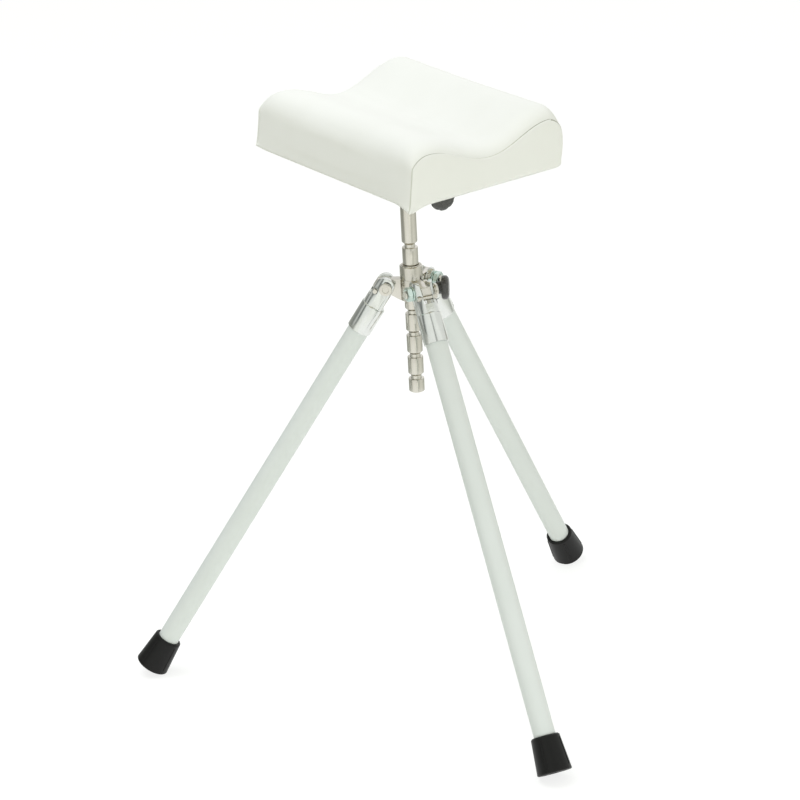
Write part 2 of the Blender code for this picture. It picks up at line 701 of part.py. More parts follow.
def end_stations(inset):
    """Sections from one end of the sweep to the other: place, share of the width, share of the height."""
    half = CUSHION_LENGTH / 2 - inset
    far = [(half - depth, wide, tall) for depth, wide, tall in END_STATIONS]
    near = [(-along, wide, tall) for along, wide, tall in reversed(far)]
    return far + [(0, 1, 1)] + near


def cushion_form(name, inset, root, look):
    """A closed loft of the wave along the sweep, with rolled and slightly domed ends."""
    section = wave_section(inset)
    base = inset
    middle = (LOW_SIDE + HIGH_SIDE) / 2
    rise = HIGH_SIDE_HEIGHT
    shape = bmesh.new()
    rings = []
    for along, wide, tall in end_stations(inset):
        ring_points = []
        keep = (1 - tall) * END_LIFT
        low = base + (rise - base) * keep
        for across, up in section:
            x = middle + (across - middle) * wide
            ring_points.append((x, along, low + (up - base) * (tall - keep)))
        rings.append([shape.verts.new(point) for point in ring_points])
    for first, second in zip(rings, rings[1:]):
        for i in range(len(section)):
            j = (i + 1) % len(section)
            shape.faces.new((first[i], first[j], second[j], second[i]))
    shape.faces.new(rings[0])
    shape.faces.new(rings[-1])
    bmesh.ops.recalc_face_normals(shape, faces=shape.faces)
    mesh = bpy.data.meshes.new(name)
    shape.to_mesh(mesh)
    shape.free()
    return place(name, mesh, root, look, location=(0, 0, CUSHION_HEIGHT))


def board_outline(grow, corner):
    """The board's plan with rounded corners, grown by a gap or drawn in where it is a cutter."""
    inner = grow - corner
    right = BASE_HIGH - BOARD_SIDE_MARGIN + inner
    left = BASE_LOW + BOARD_SIDE_MARGIN - inner
    end = CUSHION_LENGTH / 2 - BOARD_END_MARGIN + inner
    outline = arc((right, end), corner, 0, 90) + arc((left, end), corner, 90, 180)
    return outline + arc((left, -end), corner, 180, 270) + arc((right, -end), corner, 270, 360)


def make_cushion(root):
    """Plywood board, foam over it, and the sewn cover hemmed under the board."""
    middle = BOARD_HEIGHT + BOARD_THICKNESS / 2
    board = plate(
        "cushion_board", board_outline(0, BOARD_CORNER), BOARD_THICKNESS, root, "plywood",
        location=(0, 0, middle),
    )
    for name, side in (("near", -1), ("far", 1)):
        for hand, x in (("left", -TILT_SCREW_SPREAD), ("right", TILT_SCREW_SPREAD)):
            spot = (x, side * (EAR_END + TILT_SCREW_OUT), TILT_HEIGHT)
            combine(board, "DIFFERENCE", screw_hole(root, f"board_{name}_{hand}", spot))
    shade(applied(board))

    foam = cushion_form("cushion_foam", COVER_WALL + CLEAR, root, "foam")
    deep = BOARD_THICKNESS + COVER_WALL + 2 * CLEAR
    recess = plate(
        "board_recess", board_outline(CLEAR, BOARD_CORNER + CLEAR), 2 * deep, root, None,
        location=(0, 0, CUSHION_HEIGHT),
    )
    combine(foam, "DIFFERENCE", recess)
    shade(applied(foam), SOFT_ANGLE)

    cover = cushion_form("cushion_cover", 0.0, root, "white_vinyl")
    lining = cushion_form("cover_lining", COVER_WALL, root, None)
    mouth = plate(
        "cover_mouth", board_outline(-COVER_HEM, BOARD_CORNER), 4 * COVER_WALL, root, None,
        location=(0, 0, CUSHION_HEIGHT),
    )
    combine(cover, "DIFFERENCE", lining, mouth)
    shade(applied(cover), SOFT_ANGLE)


def fork_outline():
    """The ears seen along the pivot, from the pivot: towards the outer side, up the leg."""
    radius = (EAR_INNER + EAR_OUTER) / 2
    centre = (EAR_OUTER - EAR_INNER) / 2
    root_depth = CUP_TOP + CUP_FLOOR / 2
    return arc((centre, 0), radius, 0, 180) + [(-EAR_INNER, -root_depth), (EAR_OUTER, -root_depth)]


def make_fork(pivot, name):
    """Cast fork: a cup for the tube with a bead at its mouth, and two ears turned round and slotted."""
    top = -CUP_TOP
    seat = TUBE_RADIUS + CLEAR
    profile = [(0, top), (CUP_RADIUS - CUP_BEAD, top), (CUP_RADIUS, top - CUP_BEAD)]
    profile += [(CUP_RADIUS, -CUP_BOTTOM), (seat, -CUP_BOTTOM)]
    profile += [(seat, top - CUP_FLOOR), (0, top - CUP_FLOOR)]
    fork = turned(name, profile, pivot, "cast_aluminium")
    turn = (math.pi / 2, 0, 0)
    ears = plate("ears", fork_outline(), 2 * FORK_HALF, pivot, None, rotation=turn)
    barrel_radius = CUP_RADIUS - CUP_BEAD / 2
    barrel = rod("barrel", barrel_radius, -CUP_BOTTOM, CUP_BOTTOM, pivot, None, sides=ROUND_SIDES)
    combine(ears, "INTERSECT", barrel)
    applied(ears)
    slot_half = LUG_THICKNESS / 2 + CLEAR
    slot_low = (-CUP_BOTTOM, -slot_half, -FORK_SLOT_DEPTH)
    slot = block("slot", slot_low, (CUP_BOTTOM, slot_half, CUP_BOTTOM), pivot, None)
    eye = rod("eye", BOLT_RADIUS + CLEAR, -2 * FORK_HALF, 2 * FORK_HALF, pivot, None, rotation=turn)
    pin_hole = rod(
        "pin_hole", STOP_PIN_RADIUS + CLEAR, -2 * FORK_HALF, 2 * FORK_HALF, pivot, None,
        sides=PIN_SIDES, location=(STOP_PIN_OUT, 0, -STOP_PIN_DOWN), rotation=turn,
    )
    combine(fork, "UNION", ears)
    combine(fork, "DIFFERENCE", slot, eye, pin_hole)
    shade(applied(fork))
    return fork


def make_foot(pivot, name):
    """Rubber tip: a tapered cup on the tube's end, worn flat where it meets the floor."""
    top = FOOT_LENGTH - LEG_REACH
    edge = arc((FOOT_RING, FOOT_EDGE - LEG_REACH), FOOT_EDGE, 0, -90)
    seat = TUBE_RADIUS + CLEAR
    profile = [(FOOT_TOP_RADIUS - FOOT_EDGE / 2, top), (FOOT_TOP_RADIUS, top - FOOT_EDGE / 2), *edge]
    profile += [(0, -LEG_REACH), (0, FOOT_SOLE - LEG_REACH)]
    profile += [(seat, FOOT_SOLE - LEG_REACH), (seat, top)]
    foot = turned(name, profile, pivot, "black_rubber", closed=True)
    ground = block(
        "ground",
        (-LEG_REACH, -LEG_REACH, -LEG_REACH), (LEG_REACH, LEG_REACH, -PIVOT_HEIGHT), pivot, None,
        rotation=(0, LEG_SPREAD, 0),
    )
    combine(foot, "DIFFERENCE", ground)
    shade(applied(foot))
    return foot


def make_bolt(pivot, name):
    """Round low-head bolt with a shallow socket, head on the +Y side of the fork."""
    seat = FORK_HALF + CLEAR
    head = seat + BOLT_HEAD_HEIGHT
    edge = BOLT_HEAD_HEIGHT / 5
    end = -(seat + WASHER_HEIGHT + CLEAR + NUT_HEIGHT + BOLT_END)
    profile = [(0, head - BOLT_SOCKET_DEPTH), (BOLT_SOCKET_RADIUS, head - BOLT_SOCKET_DEPTH)]
    profile += [(BOLT_SOCKET_RADIUS, head), (BOLT_HEAD_RADIUS - edge, head)]
    profile += [(BOLT_HEAD_RADIUS, head - edge), (BOLT_HEAD_RADIUS, seat)]
    profile += [(BOLT_RADIUS, seat), (BOLT_RADIUS, end + edge)]
    profile += [(BOLT_RADIUS - edge, end), (0, end)]
    return turned(name, profile, pivot, "bright_steel", sides=SMALL_SIDES, rotation=(-math.pi / 2, 0, 0))


def make_leg(root, name, azimuth, model):
    """One leg about its pivot; the second and third share the meshes of the first, kept in model."""
    spot = (PIVOT_RADIUS * math.cos(azimuth), PIVOT_RADIUS * math.sin(azimuth), PIVOT_HEIGHT)
    pivot = empty("pivot_" + name, root, spot, (0, -LEG_SPREAD, azimuth))
    if not model:
        bolt_hole = BOLT_RADIUS + CLEAR
        washer = -(FORK_HALF + CLEAR)
        nut_top = washer - WASHER_HEIGHT - CLEAR
        across = (-math.pi / 2, 0, 0)
        model["leg_fork"] = make_fork(pivot, "leg_fork_" + name)
        model["leg_tube"] = applied(
            ring(
                "leg_tube_" + name, TUBE_RADIUS - TUBE_WALL, TUBE_RADIUS,
                FOOT_SOLE + CLEAR - LEG_REACH, -CUP_TOP - CUP_FLOOR - CLEAR, pivot, "grey_paint",
                sides=ROUND_SIDES,
            )
        )
        model["foot"] = make_foot(pivot, "foot_" + name)
        model["pivot_bolt"] = applied(make_bolt(pivot, "pivot_bolt_" + name))
        model["pivot_washer"] = applied(
            ring(
                "pivot_washer_" + name, bolt_hole, WASHER_RADIUS, washer - WASHER_HEIGHT, washer, pivot,
                "zinc_steel", rotation=across,
            )
        )
        nut = hexagon(
            "pivot_nut_" + name, NUT_FLATS, nut_top - NUT_HEIGHT, nut_top, pivot, "zinc_steel",
            rotation=across,
        )
        tap = rod("tap", bolt_hole, 2 * nut_top, 0, pivot, None, rotation=across)
        combine(nut, "DIFFERENCE", tap)
        model["pivot_nut"] = applied(nut)
        pin_half = FORK_HALF - CLEAR
        model["stop_pin"] = applied(
            rod(
                "stop_pin_" + name, STOP_PIN_RADIUS, -pin_half, pin_half, pivot, "bright_steel",
                sides=PIN_SIDES, location=(STOP_PIN_OUT, 0, -STOP_PIN_DOWN), rotation=across,
            )
        )
        for item in model.values():
            shade(item)
        return
    for piece, first in model.items():
        look = first.data.materials[0].name
        place(f"{piece}_{name}", first.data, pivot, look, first.location, first.rotation_euler)


def build():
    root = empty("footrest", location=hub_offset())
    make_hub(root)
    make_bush(root)
    make_post(root)
    make_plunger(root)
    make_tilt(root)
    make_cushion(root)
    model = {}
    for name, azimuth in zip(LEG_NAMES, LEG_AZIMUTHS):
        make_leg(root, name, azimuth, model)


clear_scene()
PARTS = collection("pedicure_footrest")
CUTTERS = collection("cutters")
build()
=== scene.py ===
"""Looks of the pedicure footrest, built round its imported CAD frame: the studio first, then the legs from the
floor up, the hub with its post and index plunger, the tilt joint, and the sewn cushion on top."""

import json
import math

import bmesh
import bpy
from mathutils import Matrix, Quaternion, Vector, kdtree


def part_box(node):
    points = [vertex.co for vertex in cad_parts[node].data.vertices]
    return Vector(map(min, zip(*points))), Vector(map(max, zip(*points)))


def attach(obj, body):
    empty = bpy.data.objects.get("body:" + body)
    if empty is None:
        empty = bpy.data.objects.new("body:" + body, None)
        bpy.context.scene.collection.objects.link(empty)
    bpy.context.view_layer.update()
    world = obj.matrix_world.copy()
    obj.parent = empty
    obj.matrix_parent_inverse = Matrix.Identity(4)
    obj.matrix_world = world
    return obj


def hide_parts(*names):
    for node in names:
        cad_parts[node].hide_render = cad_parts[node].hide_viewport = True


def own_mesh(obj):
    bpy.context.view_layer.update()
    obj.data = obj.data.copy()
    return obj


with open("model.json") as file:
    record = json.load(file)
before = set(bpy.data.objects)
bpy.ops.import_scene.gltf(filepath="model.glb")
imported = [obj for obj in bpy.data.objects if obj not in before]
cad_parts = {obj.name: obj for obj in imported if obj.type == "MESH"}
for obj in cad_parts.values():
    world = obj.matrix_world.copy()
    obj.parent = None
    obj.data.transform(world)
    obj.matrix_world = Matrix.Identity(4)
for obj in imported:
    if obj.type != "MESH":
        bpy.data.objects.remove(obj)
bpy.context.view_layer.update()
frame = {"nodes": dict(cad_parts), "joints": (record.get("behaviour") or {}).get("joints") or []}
scene = bpy.context.scene


def linked(name, data):
    """A new object in the scene."""
    made = bpy.data.objects.new(name, data)
    scene.collection.objects.link(made)
    return made


def as_mesh(name, made):
    """A shape as a mesh; the shape itself is let go."""
    mesh = bpy.data.meshes.new(name)
    made.to_mesh(mesh)
    made.free()
    return mesh


# Studio: a seamless white floor under soft light, seen through a long lens from above one corner of the
# cushion. Floor and surroundings look white to the camera, while the metal mirrors bands of tone in them; on
# the floor these bands are painted reflections, seen by glossy rays alone.
MM = 0.001
nodes = frame["nodes"]
joints = {joint["name"]: joint for joint in frame["joints"]}
post_axis = Vector(joints["post_swivel"]["pos_m"])
pivot_height = post_axis.z
post_axis.z = 0

view_turn = math.radians(-33.63)
view_rise = math.radians(21.7)
view_roll = math.radians(-2.98)
view_distance = 3.372
aim_aside = -17.9 * MM
aim_height = 300.1 * MM
lens = 148.6

view_right = Vector((math.cos(view_turn), math.sin(view_turn), 0))
view_ahead = Vector((-math.sin(view_turn), math.cos(view_turn), 0))
view_back = -view_ahead * math.cos(view_rise) + Vector((0, 0, math.sin(view_rise)))
aim = post_axis + view_right * aim_aside + Vector((0, 0, aim_height))
camera = linked("camera", bpy.data.cameras.new("camera"))
camera.data.lens = lens
camera.data.clip_end = 100
camera.location = aim + view_back * view_distance
camera.rotation_mode = "QUATERNION"
camera.rotation_quaternion = (-view_back).to_track_quat("-Z", "Y") @ Quaternion((0, 0, 1), view_roll)
scene.camera = camera
scene.view_settings.view_transform = "Standard"


def linear(code):
    """An sRGB hex colour as linear red, green, blue and alpha."""
    shares = [int(code[i:i + 2], 16) / 255 for i in (1, 3, 5)]
    return (*[s / 12.92 if s <= 0.04045 else ((s + 0.055) / 1.055) ** 2.4 for s in shares], 1)


def feed(tree, node, links):
    """Gives a node's inputs their values or links; another node stands for its first output."""
    for name, value in links.items():
        if isinstance(value, bpy.types.Node):
            value = value.outputs[0]
        if isinstance(value, bpy.types.NodeSocket):
            tree.links.new(value, node.inputs[name])
        else:
            node.inputs[name].default_value = value


def add(tree, kind, links=None, **settings):
    """A new node of a tree, with its settings and inputs."""
    made = tree.nodes.new("ShaderNode" + kind)
    for name, value in settings.items():
        setattr(made, name, value)
    feed(tree, made, links or {})
    return made


def soft_lamp(name, aside, ahead, height, width, watts, tint="#ffffff"):
    """A square softbox, placed from the post as the camera sees it; the metal does not mirror it."""
    lamp = bpy.data.lights.new(name, "AREA")
    lamp.size = width
    lamp.energy = watts
    lamp.color = linear(tint)[:3]
    item = linked(name, lamp)
    item.visible_glossy = False
    item.location = post_axis + view_right * aside + view_ahead * ahead + Vector((0, 0, height))
    target = post_axis + Vector((0, 0, aim_height))
    item.rotation_mode = "QUATERNION"
    item.rotation_quaternion = (target - item.location).to_track_quat("-Z", "Y")


soft_lamp("overhead_softbox", aside=-0.75, ahead=0.25, height=2.4, width=1.6, watts=27.6, tint="#f6f8ff")
soft_lamp("side_softbox", aside=0.85, ahead=-2.1, height=0.1, width=1.2, watts=19)

world = bpy.data.worlds.new("white studio")
world.use_nodes = True
scene.world = world
sky = world.node_tree
sky.nodes.clear()
path = add(sky, "LightPath")
heading = add(sky, "TexCoord").outputs["Generated"]


def toned_by_bearing(tree, spot, *tones):
    """Tones of the surroundings by bearing: left 0, camera 0.25, right 0.5, ahead 0.75, and left again."""
    faced = add(tree, "Mapping", {"Vector": spot, "Rotation": (0, 0, -view_turn)})
    bearing = add(tree, "TexGradient", {"Vector": faced}, gradient_type="RADIAL")
    made = add(tree, "ValToRGB", {"Fac": bearing.outputs["Fac"]})
    for place, _ in tones[1:-1]:
        made.color_ramp.elements.new(place)
    for element, (place, tone) in zip(made.color_ramp.elements, tones):
        element.position = place
        element.color = linear(tone)
    return made


lit_tones = toned_by_bearing(
    sky, heading,
    (0.0, "#8e9088"), (0.045, "#b8baaf"), (0.08, "#c2c2b8"), (0.15, "#c2c2b8"), (0.21, "#c2c4ba"),
    (0.30, "#c0c2b8"), (0.42, "#c4c5bc"), (0.60, "#d6d6d2"), (0.74, "#d2d2ce"), (0.84, "#90928d"),
    (0.94, "#78796f"), (1.0, "#8e9088"),
)
mirrored_tones = toned_by_bearing(
    sky, heading,
    (0.0, "#d4d6d2"), (0.02, "#ced1ce"), (0.034, "#636865"), (0.062, "#636865"), (0.086, "#eef1ed"),
    (0.245, "#fafcf8"), (0.262, "#eceeea"), (0.27, "#6a6f6c"), (0.288, "#6a6f6c"), (0.297, "#f0f3ef"),
    (0.41, "#fbfdf9"), (0.46, "#eceeea"), (0.60, "#e6e8e4"), (0.74, "#ffffff"), (0.80, "#c4c6c2"),
    (0.88, "#9a9c98"), (0.945, "#868986"), (0.965, "#8e918e"), (1.0, "#d4d6d2"),
)
lit = add(sky, "Background", {"Color": lit_tones, "Strength": 1.12})
mirrored = add(sky, "Background", {"Color": mirrored_tones, "Strength": 1.0})
white = add(sky, "Background", {"Color": linear("#ffffff"), "Strength": 1.0})
felt = add(sky, "MixShader", {0: path.outputs["Is Glossy Ray"], 1: lit, 2: mirrored})
seen = add(sky, "MixShader", {0: path.outputs["Is Camera Ray"], 1: felt, 2: white})
add(sky, "OutputWorld", {"Surface": seen})

floor_half = 30
sheet = bmesh.new()
bmesh.ops.create_grid(sheet, x_segments=1, y_segments=1, size=floor_half)
floor = linked("floor", as_mesh("floor", sheet))
floor.location = post_axis
paper = bpy.data.materials.new("white paper sweep")
paper.use_nodes = True
floor.data.materials.append(paper)
tree = paper.node_tree
tree.nodes.clear()
path = add(tree, "LightPath")
watched = add(
    tree, "Math", {0: path.outputs["Is Camera Ray"], 1: path.outputs["Is Glossy Ray"]}, operation="ADD",
)
watched = add(tree, "Math", {0: watched, 1: path.outputs["Is Transmission Ray"]}, operation="ADD")
matt = add(tree, "BsdfDiffuse", {"Color": linear("#f3f4ef")})
faint = add(tree, "BsdfDiffuse", {"Color": linear("#979997")})
spot = add(tree, "TexCoord").outputs["Object"]
# Painted reflection: glossy rays see the floor in dark and light bands by bearing near the post, white farther
# out.
painted_reflection_bands = toned_by_bearing(
    tree, spot,
    (0.0, "#72736d"), (0.045, "#8f908a"), (0.08, "#f2f3ee"), (0.13, "#f4f5ef"), (0.17, "#ffffff"),
    (0.24, "#f6f7f1"), (0.30, "#f6f7f1"), (0.335, "#bcbdb5"), (0.36, "#b8b9b1"), (0.39, "#d8d9d1"),
    (0.44, "#e2e3dc"), (0.54, "#c8c9c1"), (0.59, "#b4b5ae"), (0.605, "#62635e"), (0.625, "#72736e"),
    (0.645, "#f2f3ee"), (0.74, "#ffffff"), (0.77, "#a8a9a3"), (0.84, "#7e7f79"), (0.93, "#767771"),
    (0.975, "#585954"), (1.0, "#72736d"),
)
off = add(tree, "VectorMath", {0: spot}, operation="LENGTH")
far = add(tree, "MapRange", {"Value": off.outputs["Value"], "From Min": 0.35, "From Max": 0.75})
farther = add(tree, "MixRGB", {0: far, 1: linear("#ffffff"), 2: painted_reflection_bands})
# Only glossy rays see the painted reflection bands; the camera sees the floor white.
painted_reflection = add(tree, "MixRGB", {0: path.outputs["Is Glossy Ray"], 1: linear("#ffffff"), 2: farther})
glow = add(tree, "Emission", {"Color": painted_reflection, "Strength": 0.8})
bright = add(tree, "AddShader", {0: faint, 1: glow})
sweep = add(tree, "MixShader", {0: watched, 1: matt, 2: bright})
add(tree, "OutputMaterial", {"Surface": sweep})


# Rubber feet: moulded black tips pushed over the tube ends, a chamfered lip at the mouth and four narrow ribs
# down the side. Ringed soles; the outer edge has worn flat where the leaning leg meets the floor.
legs = {}
stands = {}
for leg in ("front", "rear", "left"):
    fold = joints[f"leg_{leg}_fold"]
    across = Vector(fold["axis"])
    lean = Matrix.Rotation(-math.radians(fold["range_deg"][1]), 4, "Y")
    turn = Matrix.Rotation(math.atan2(-across.x, across.y), 4, "Z")
    stands[leg] = Matrix.Translation(fold["pos_m"]) @ turn
    legs[leg] = stands[leg] @ lean


# Scratches, lathe lines and grain that are too fine to show are drawn as coarse as they need to be.
def blank(name):
    """A new material, its node tree, and the place on the piece that its patterns follow."""
    made = bpy.data.materials.new(name)
    made.use_nodes = True
    return made, made.node_tree, add(made.node_tree, "TexCoord").outputs["Object"]


def surfaced(made, links):
    """The material with its shader's inputs given."""
    feed(made.node_tree, made.node_tree.nodes["Principled BSDF"], links)
    return made


def patchy(name, patch_size, detail, tones, rough):
    """A blank material whose tone and roughness change together, over patches of one size."""
    made, tree, spot = blank(name)
    patch = add(tree, "TexNoise", {"Vector": spot, "Scale": 1 / patch_size, "Detail": detail})
    tone = add(tree, "MixRGB", {0: patch, 1: linear(tones[0]), 2: linear(tones[1])})
    sheen = add(tree, "MapRange", {"Value": patch, "To Min": rough[0], "To Max": rough[1]})
    return surfaced(made, {"Base Color": tone, "Roughness": sheen}), tree, spot


def faced_out(made):
    bmesh.ops.recalc_face_normals(made, faces=made.faces)
    return made


def turned(profile, sides=96):
    """A closed lathe shape in millimetres: a profile of (radius, height) points spun round Z."""
    made = bmesh.new()
    points = [made.verts.new((radius, 0, height)) for radius, height in profile]
    edges = [made.edges.new(pair) for pair in zip(points, points[1:])]
    bmesh.ops.spin(made, geom=points + edges, axis=(0, 0, 1), angle=math.tau, steps=sides, use_merge=True)
    bmesh.ops.remove_doubles(made, verts=made.verts, dist=0.001)
    return faced_out(made)


def eased(made, size, steps=2, angle=35):
    """The shape with its flat faces made whole and its sharp edges rounded."""
    bmesh.ops.remove_doubles(made, verts=made.verts, dist=0.002)
    bmesh.ops.dissolve_limit(made, angle_limit=math.radians(0.5), verts=made.verts, edges=made.edges)
    sharp = [e for e in made.edges if e.is_manifold and e.calc_face_angle() > math.radians(angle)]
    bmesh.ops.bevel(
        made, geom=sharp, offset=size, offset_type="OFFSET", segments=steps, profile=0.5,
        affect="EDGES", clamp_overlap=True, material=-1,
    )
    return made


def moved(made, place):
    bmesh.ops.transform(made, matrix=place, verts=made.verts)
    return made


def piece(name, made, finish, body, *stands_for, place=Matrix()):
    """A shape in millimetres as an object of the model: placed, smoothed, riding on its body.
    Its finish is a material with the slot it belongs to; the slot is not used."""
    look, slot = finish
    mesh = as_mesh(name, moved(made, place @ Matrix.Scale(MM, 4)))
    mesh.shade_smooth()
    mesh.set_sharp_from_angle(angle=math.radians(40))
    mesh.materials.append(look)
    item = linked(name, mesh)
    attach(item, body)
    if stands_for:
        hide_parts(*stands_for)
    return item


def moulded_rubber():
    """Natural rubber with carbon black, moulded: near black, half matt, with a faint dusty mottle."""
    made, tree, spot = patchy(
        "moulded black rubber",
        patch_size=5 * MM, detail=5, tones=("#0a0a0a", "#161615"), rough=(0.36, 0.52),
    )
    skin_size = 0.5 * MM
    skin = add(tree, "TexNoise", {"Vector": spot, "Scale": 1 / skin_size, "Detail": 2})
    bump = add(tree, "Bump", {"Height": skin, "Strength": 0.25, "Distance": 0.05 * MM})
    return surfaced(made, {"Normal": bump, "IOR": 1.52, "Specular IOR Level": 0.25})


clear = 0.3
tube_radius = 11
sole = -495.9
insole = sole + 8
foot_top = sole + 37.4
foot_bore = tube_radius + clear
lip_radius = 14.4
lip_chamfer = 1.4
toe_radius = 17.7
toe_edge = 2
rib_low = sole + 5
rib_high = foot_top - 4
rib_angles = [math.radians(45 + 90 * i) for i in range(4)]
rib_half_angle = math.radians(3.8)
rib_edge = 0.35
rib_height = 0.55
sole_rings = ((12, 0), (11.5, 1), (9.5, 1), (9, 0), (6, 0), (5.5, 1), (0, 1))


def foot_shape():
    side = [(lip_radius + (toe_radius - lip_radius) * (foot_top - z) / (foot_top - sole), z)
            for z in (foot_top - lip_chamfer, rib_high, rib_low, sole + toe_edge)]
    turn = [math.radians(90 * i / 6) for i in range(1, 7)]
    edge = [(toe_radius - toe_edge * (1 - math.cos(a)), sole + toe_edge * (1 - math.sin(a))) for a in turn]
    tread = [(radius, sole + depth) for radius, depth in sole_rings]
    mouth = [(0, insole), (foot_bore, insole), (foot_bore, foot_top), (lip_radius - lip_chamfer, foot_top)]
    made = turned(mouth + side + edge + tread, sides=120)
    ribs = []
    for face in made.faces:
        spot = face.calc_center_median()
        if rib_low < spot.z < rib_high and spot.xy.length > foot_bore + 1:
            bearing = math.atan2(spot.y, spot.x)
            if min(abs(math.remainder(bearing - a, math.tau)) for a in rib_angles) < rib_half_angle:
                ribs.append(face)
    bmesh.ops.inset_region(made, faces=ribs, thickness=rib_edge, depth=rib_height, use_even_offset=True)
    return made


rubber = moulded_rubber(), "black_rubber"
for leg, place in legs.items():
    made = moved(foot_shape(), place @ Matrix.Scale(MM, 4))
    cut = bmesh.ops.bisect_plane(
        made, geom=made.verts[:] + made.edges[:] + made.faces[:], plane_no=(0, 0, -1), clear_outer=True
    )
    rim = [part for part in cut["geom_cut"] if isinstance(part, bmesh.types.BMEdge)]
    bmesh.ops.holes_fill(made, edges=rim)
    foot = moved(faced_out(made), Matrix.Scale(1 / MM, 4))
    piece(f"rubber_foot_{leg}", foot, rubber, f"leg_{leg}", f"foot_{leg}")


# Leg tubes: round steel tube, powder-coated pale grey and baked, pressed into the fork above and the foot
# below. The coat is half gloss, with the slight orange-peel ripple of powder that has melted and flowed.
def powder_coat():
    """Polyester powder coat: an even pale grey-green, half gloss, softly rippled, a little chalky."""
    made, tree, spot = patchy(
        "powder coat, pale grey",
        patch_size=60 * MM, detail=3, tones=("#e1e7e5", "#e8edec"), rough=(0.32, 0.42),
    )
    ripple_size = 1.4 * MM
    ripple = add(tree, "TexNoise", {"Vector": spot, "Scale": 1 / ripple_size, "Detail": 1})
    bump = add(tree, "Bump", {"Height": ripple, "Strength": 0.3, "Distance": 0.03 * MM})
    return surfaced(made, {"Normal": bump, "IOR": 1.5})


def pipe(inner, outer, low, high, sides=96):
    """A plain round tube along Z."""
    walls = [(inner, low), (inner, high), (outer, high), (outer, low)]
    return turned(walls + walls[:1], sides)


tube_bore = 9.5
tube_top = -29.8
tube_end = insole + clear
coat = powder_coat(), "grey_paint"
for leg, place in legs.items():
    tube = pipe(tube_bore, tube_radius, tube_end, tube_top)
    piece(f"painted_tube_{leg}", tube, coat, f"leg_{leg}", f"leg_tube_{leg}", place=place)


# Leg forks: aluminium castings, polished, with a cup for the tube and two round-topped ears either side of
# the lug. The ears are milled flat outside, slotted, and drilled for the pivot bolt and the stop pin.
def outline(points):
    """A flat face in XZ from its corner points, ready to be extruded along Y."""
    made = bmesh.new()
    made.faces.new([made.verts.new((x, 0, z)) for x, z in points])
    return made


def extruded(made, low, high):
    """A flat face in XZ made into a plate along Y from low to high."""
    bmesh.ops.translate(made, verts=made.verts, vec=(0, low, 0))
    grown = bmesh.ops.extrude_face_region(made, geom=made.faces[:])
    tips = [part for part in grown["geom"] if isinstance(part, bmesh.types.BMVert)]
    bmesh.ops.translate(made, verts=tips, vec=(0, high - low, 0))
    return faced_out(made)


def bar(radius, low, high, sides=48):
    """A plain round bar along Z, for joining or cutting."""
    return turned([(0, high), (radius, high), (radius, low), (0, low)], sides)


def combined(base, operation, *others):
    """Closed shapes joined to a base, cut from it, or kept where they share its space."""
    items = [linked("shape", as_mesh("shape", made)) for made in (base, *others)]
    for other in items[1:]:
        step = items[0].modifiers.new("Combine", "BOOLEAN")
        step.operation = operation
        step.object = other
        step.solver = "EXACT"
    bpy.context.view_layer.update()
    whole = items[0].evaluated_get(bpy.context.evaluated_depsgraph_get())
    made = bmesh.new()
    made.from_mesh(whole.to_mesh())
    for item in items:
        bpy.data.objects.remove(item, do_unlink=True)
    return made


def polished_aluminium():
    """Cast aluminium, ground and buffed: bright and neutral, with a soft cloudy gloss and fine scratches."""
    made, tree, spot = patchy(
        "cast aluminium, polished",
        patch_size=7 * MM, detail=4, tones=("#dfe1de", "#eceeeb"), rough=(0.12, 0.26),
    )
    dent_size = 3 * MM
    scratch_size = 0.35 * MM
    dents = add(tree, "TexNoise", {"Vector": spot, "Scale": 1 / dent_size, "Detail": 1})
    dented = add(tree, "Bump", {"Height": dents, "Strength": 0.25, "Distance": 0.08 * MM})
    stretch = add(tree, "Mapping", {"Vector": spot, "Scale": (1, 1, 0.06)})
    scratch = add(tree, "TexNoise", {"Vector": stretch, "Scale": 1 / scratch_size, "Detail": 2})
    bump = add(
        tree, "Bump", {"Height": scratch, "Strength": 0.12, "Distance": 0.02 * MM, "Normal": dented},
    )
    return surfaced(made, {"Normal": bump, "Metallic": 1})


cup_radius = 12.6
cup_top = -23.5
cup_end = -54.4
cup_floor = cup_top - 6
cup_chamfer = 1.4
cup_bore = tube_radius + clear
ear_inner = -8.5
ear_outer = 11
ear_half = 11
ear_root = cup_top - 3
slot_half = 5.3
slot_floor = -15
bolt_hole = 4.3
stop_pin_out = 7.7
stop_pin_down = 8.3
stop_pin_hole = 2.8
through = 30
to_across = Matrix.Rotation(math.pi / 2, 4, "X")


def fork_shape():
    cup = turned([
        (0, cup_top), (cup_radius - cup_chamfer, cup_top), (cup_radius, cup_top - cup_chamfer),
        (cup_radius, cup_end), (cup_bore, cup_end), (cup_bore, cup_floor), (0, cup_floor),
    ])
    reach = (ear_outer - ear_inner) / 2
    middle = (ear_outer + ear_inner) / 2
    dome = [math.radians(7.5 * i) for i in range(25)]
    rim = [(middle + reach * math.cos(a), reach * math.sin(a)) for a in dome]
    ears = extruded(outline(rim + [(ear_inner, ear_root), (ear_outer, ear_root)]), -ear_half, ear_half)
    ears = combined(ears, "INTERSECT", bar(cup_radius - cup_chamfer / 2, 2 * cup_end, -cup_end, 96))
    fork = combined(cup, "UNION", ears)
    slot = outline([(-through, slot_floor), (through, slot_floor), (through, through), (-through, through)])
    eye = moved(bar(bolt_hole, -through, through), to_across)
    pin_place = Matrix.Translation((stop_pin_out, 0, -stop_pin_down)) @ to_across
    pin_hole = moved(bar(stop_pin_hole, -through, through), pin_place)
    return combined(fork, "DIFFERENCE", extruded(slot, -slot_half, slot_half), eye, pin_hole)


aluminium = polished_aluminium(), "cast_aluminium"
for leg, place in legs.items():
    fork = eased(fork_shape(), 0.5)
    piece(f"cast_fork_{leg}", fork, aluminium, f"leg_{leg}", f"leg_fork_{leg}", place=place)


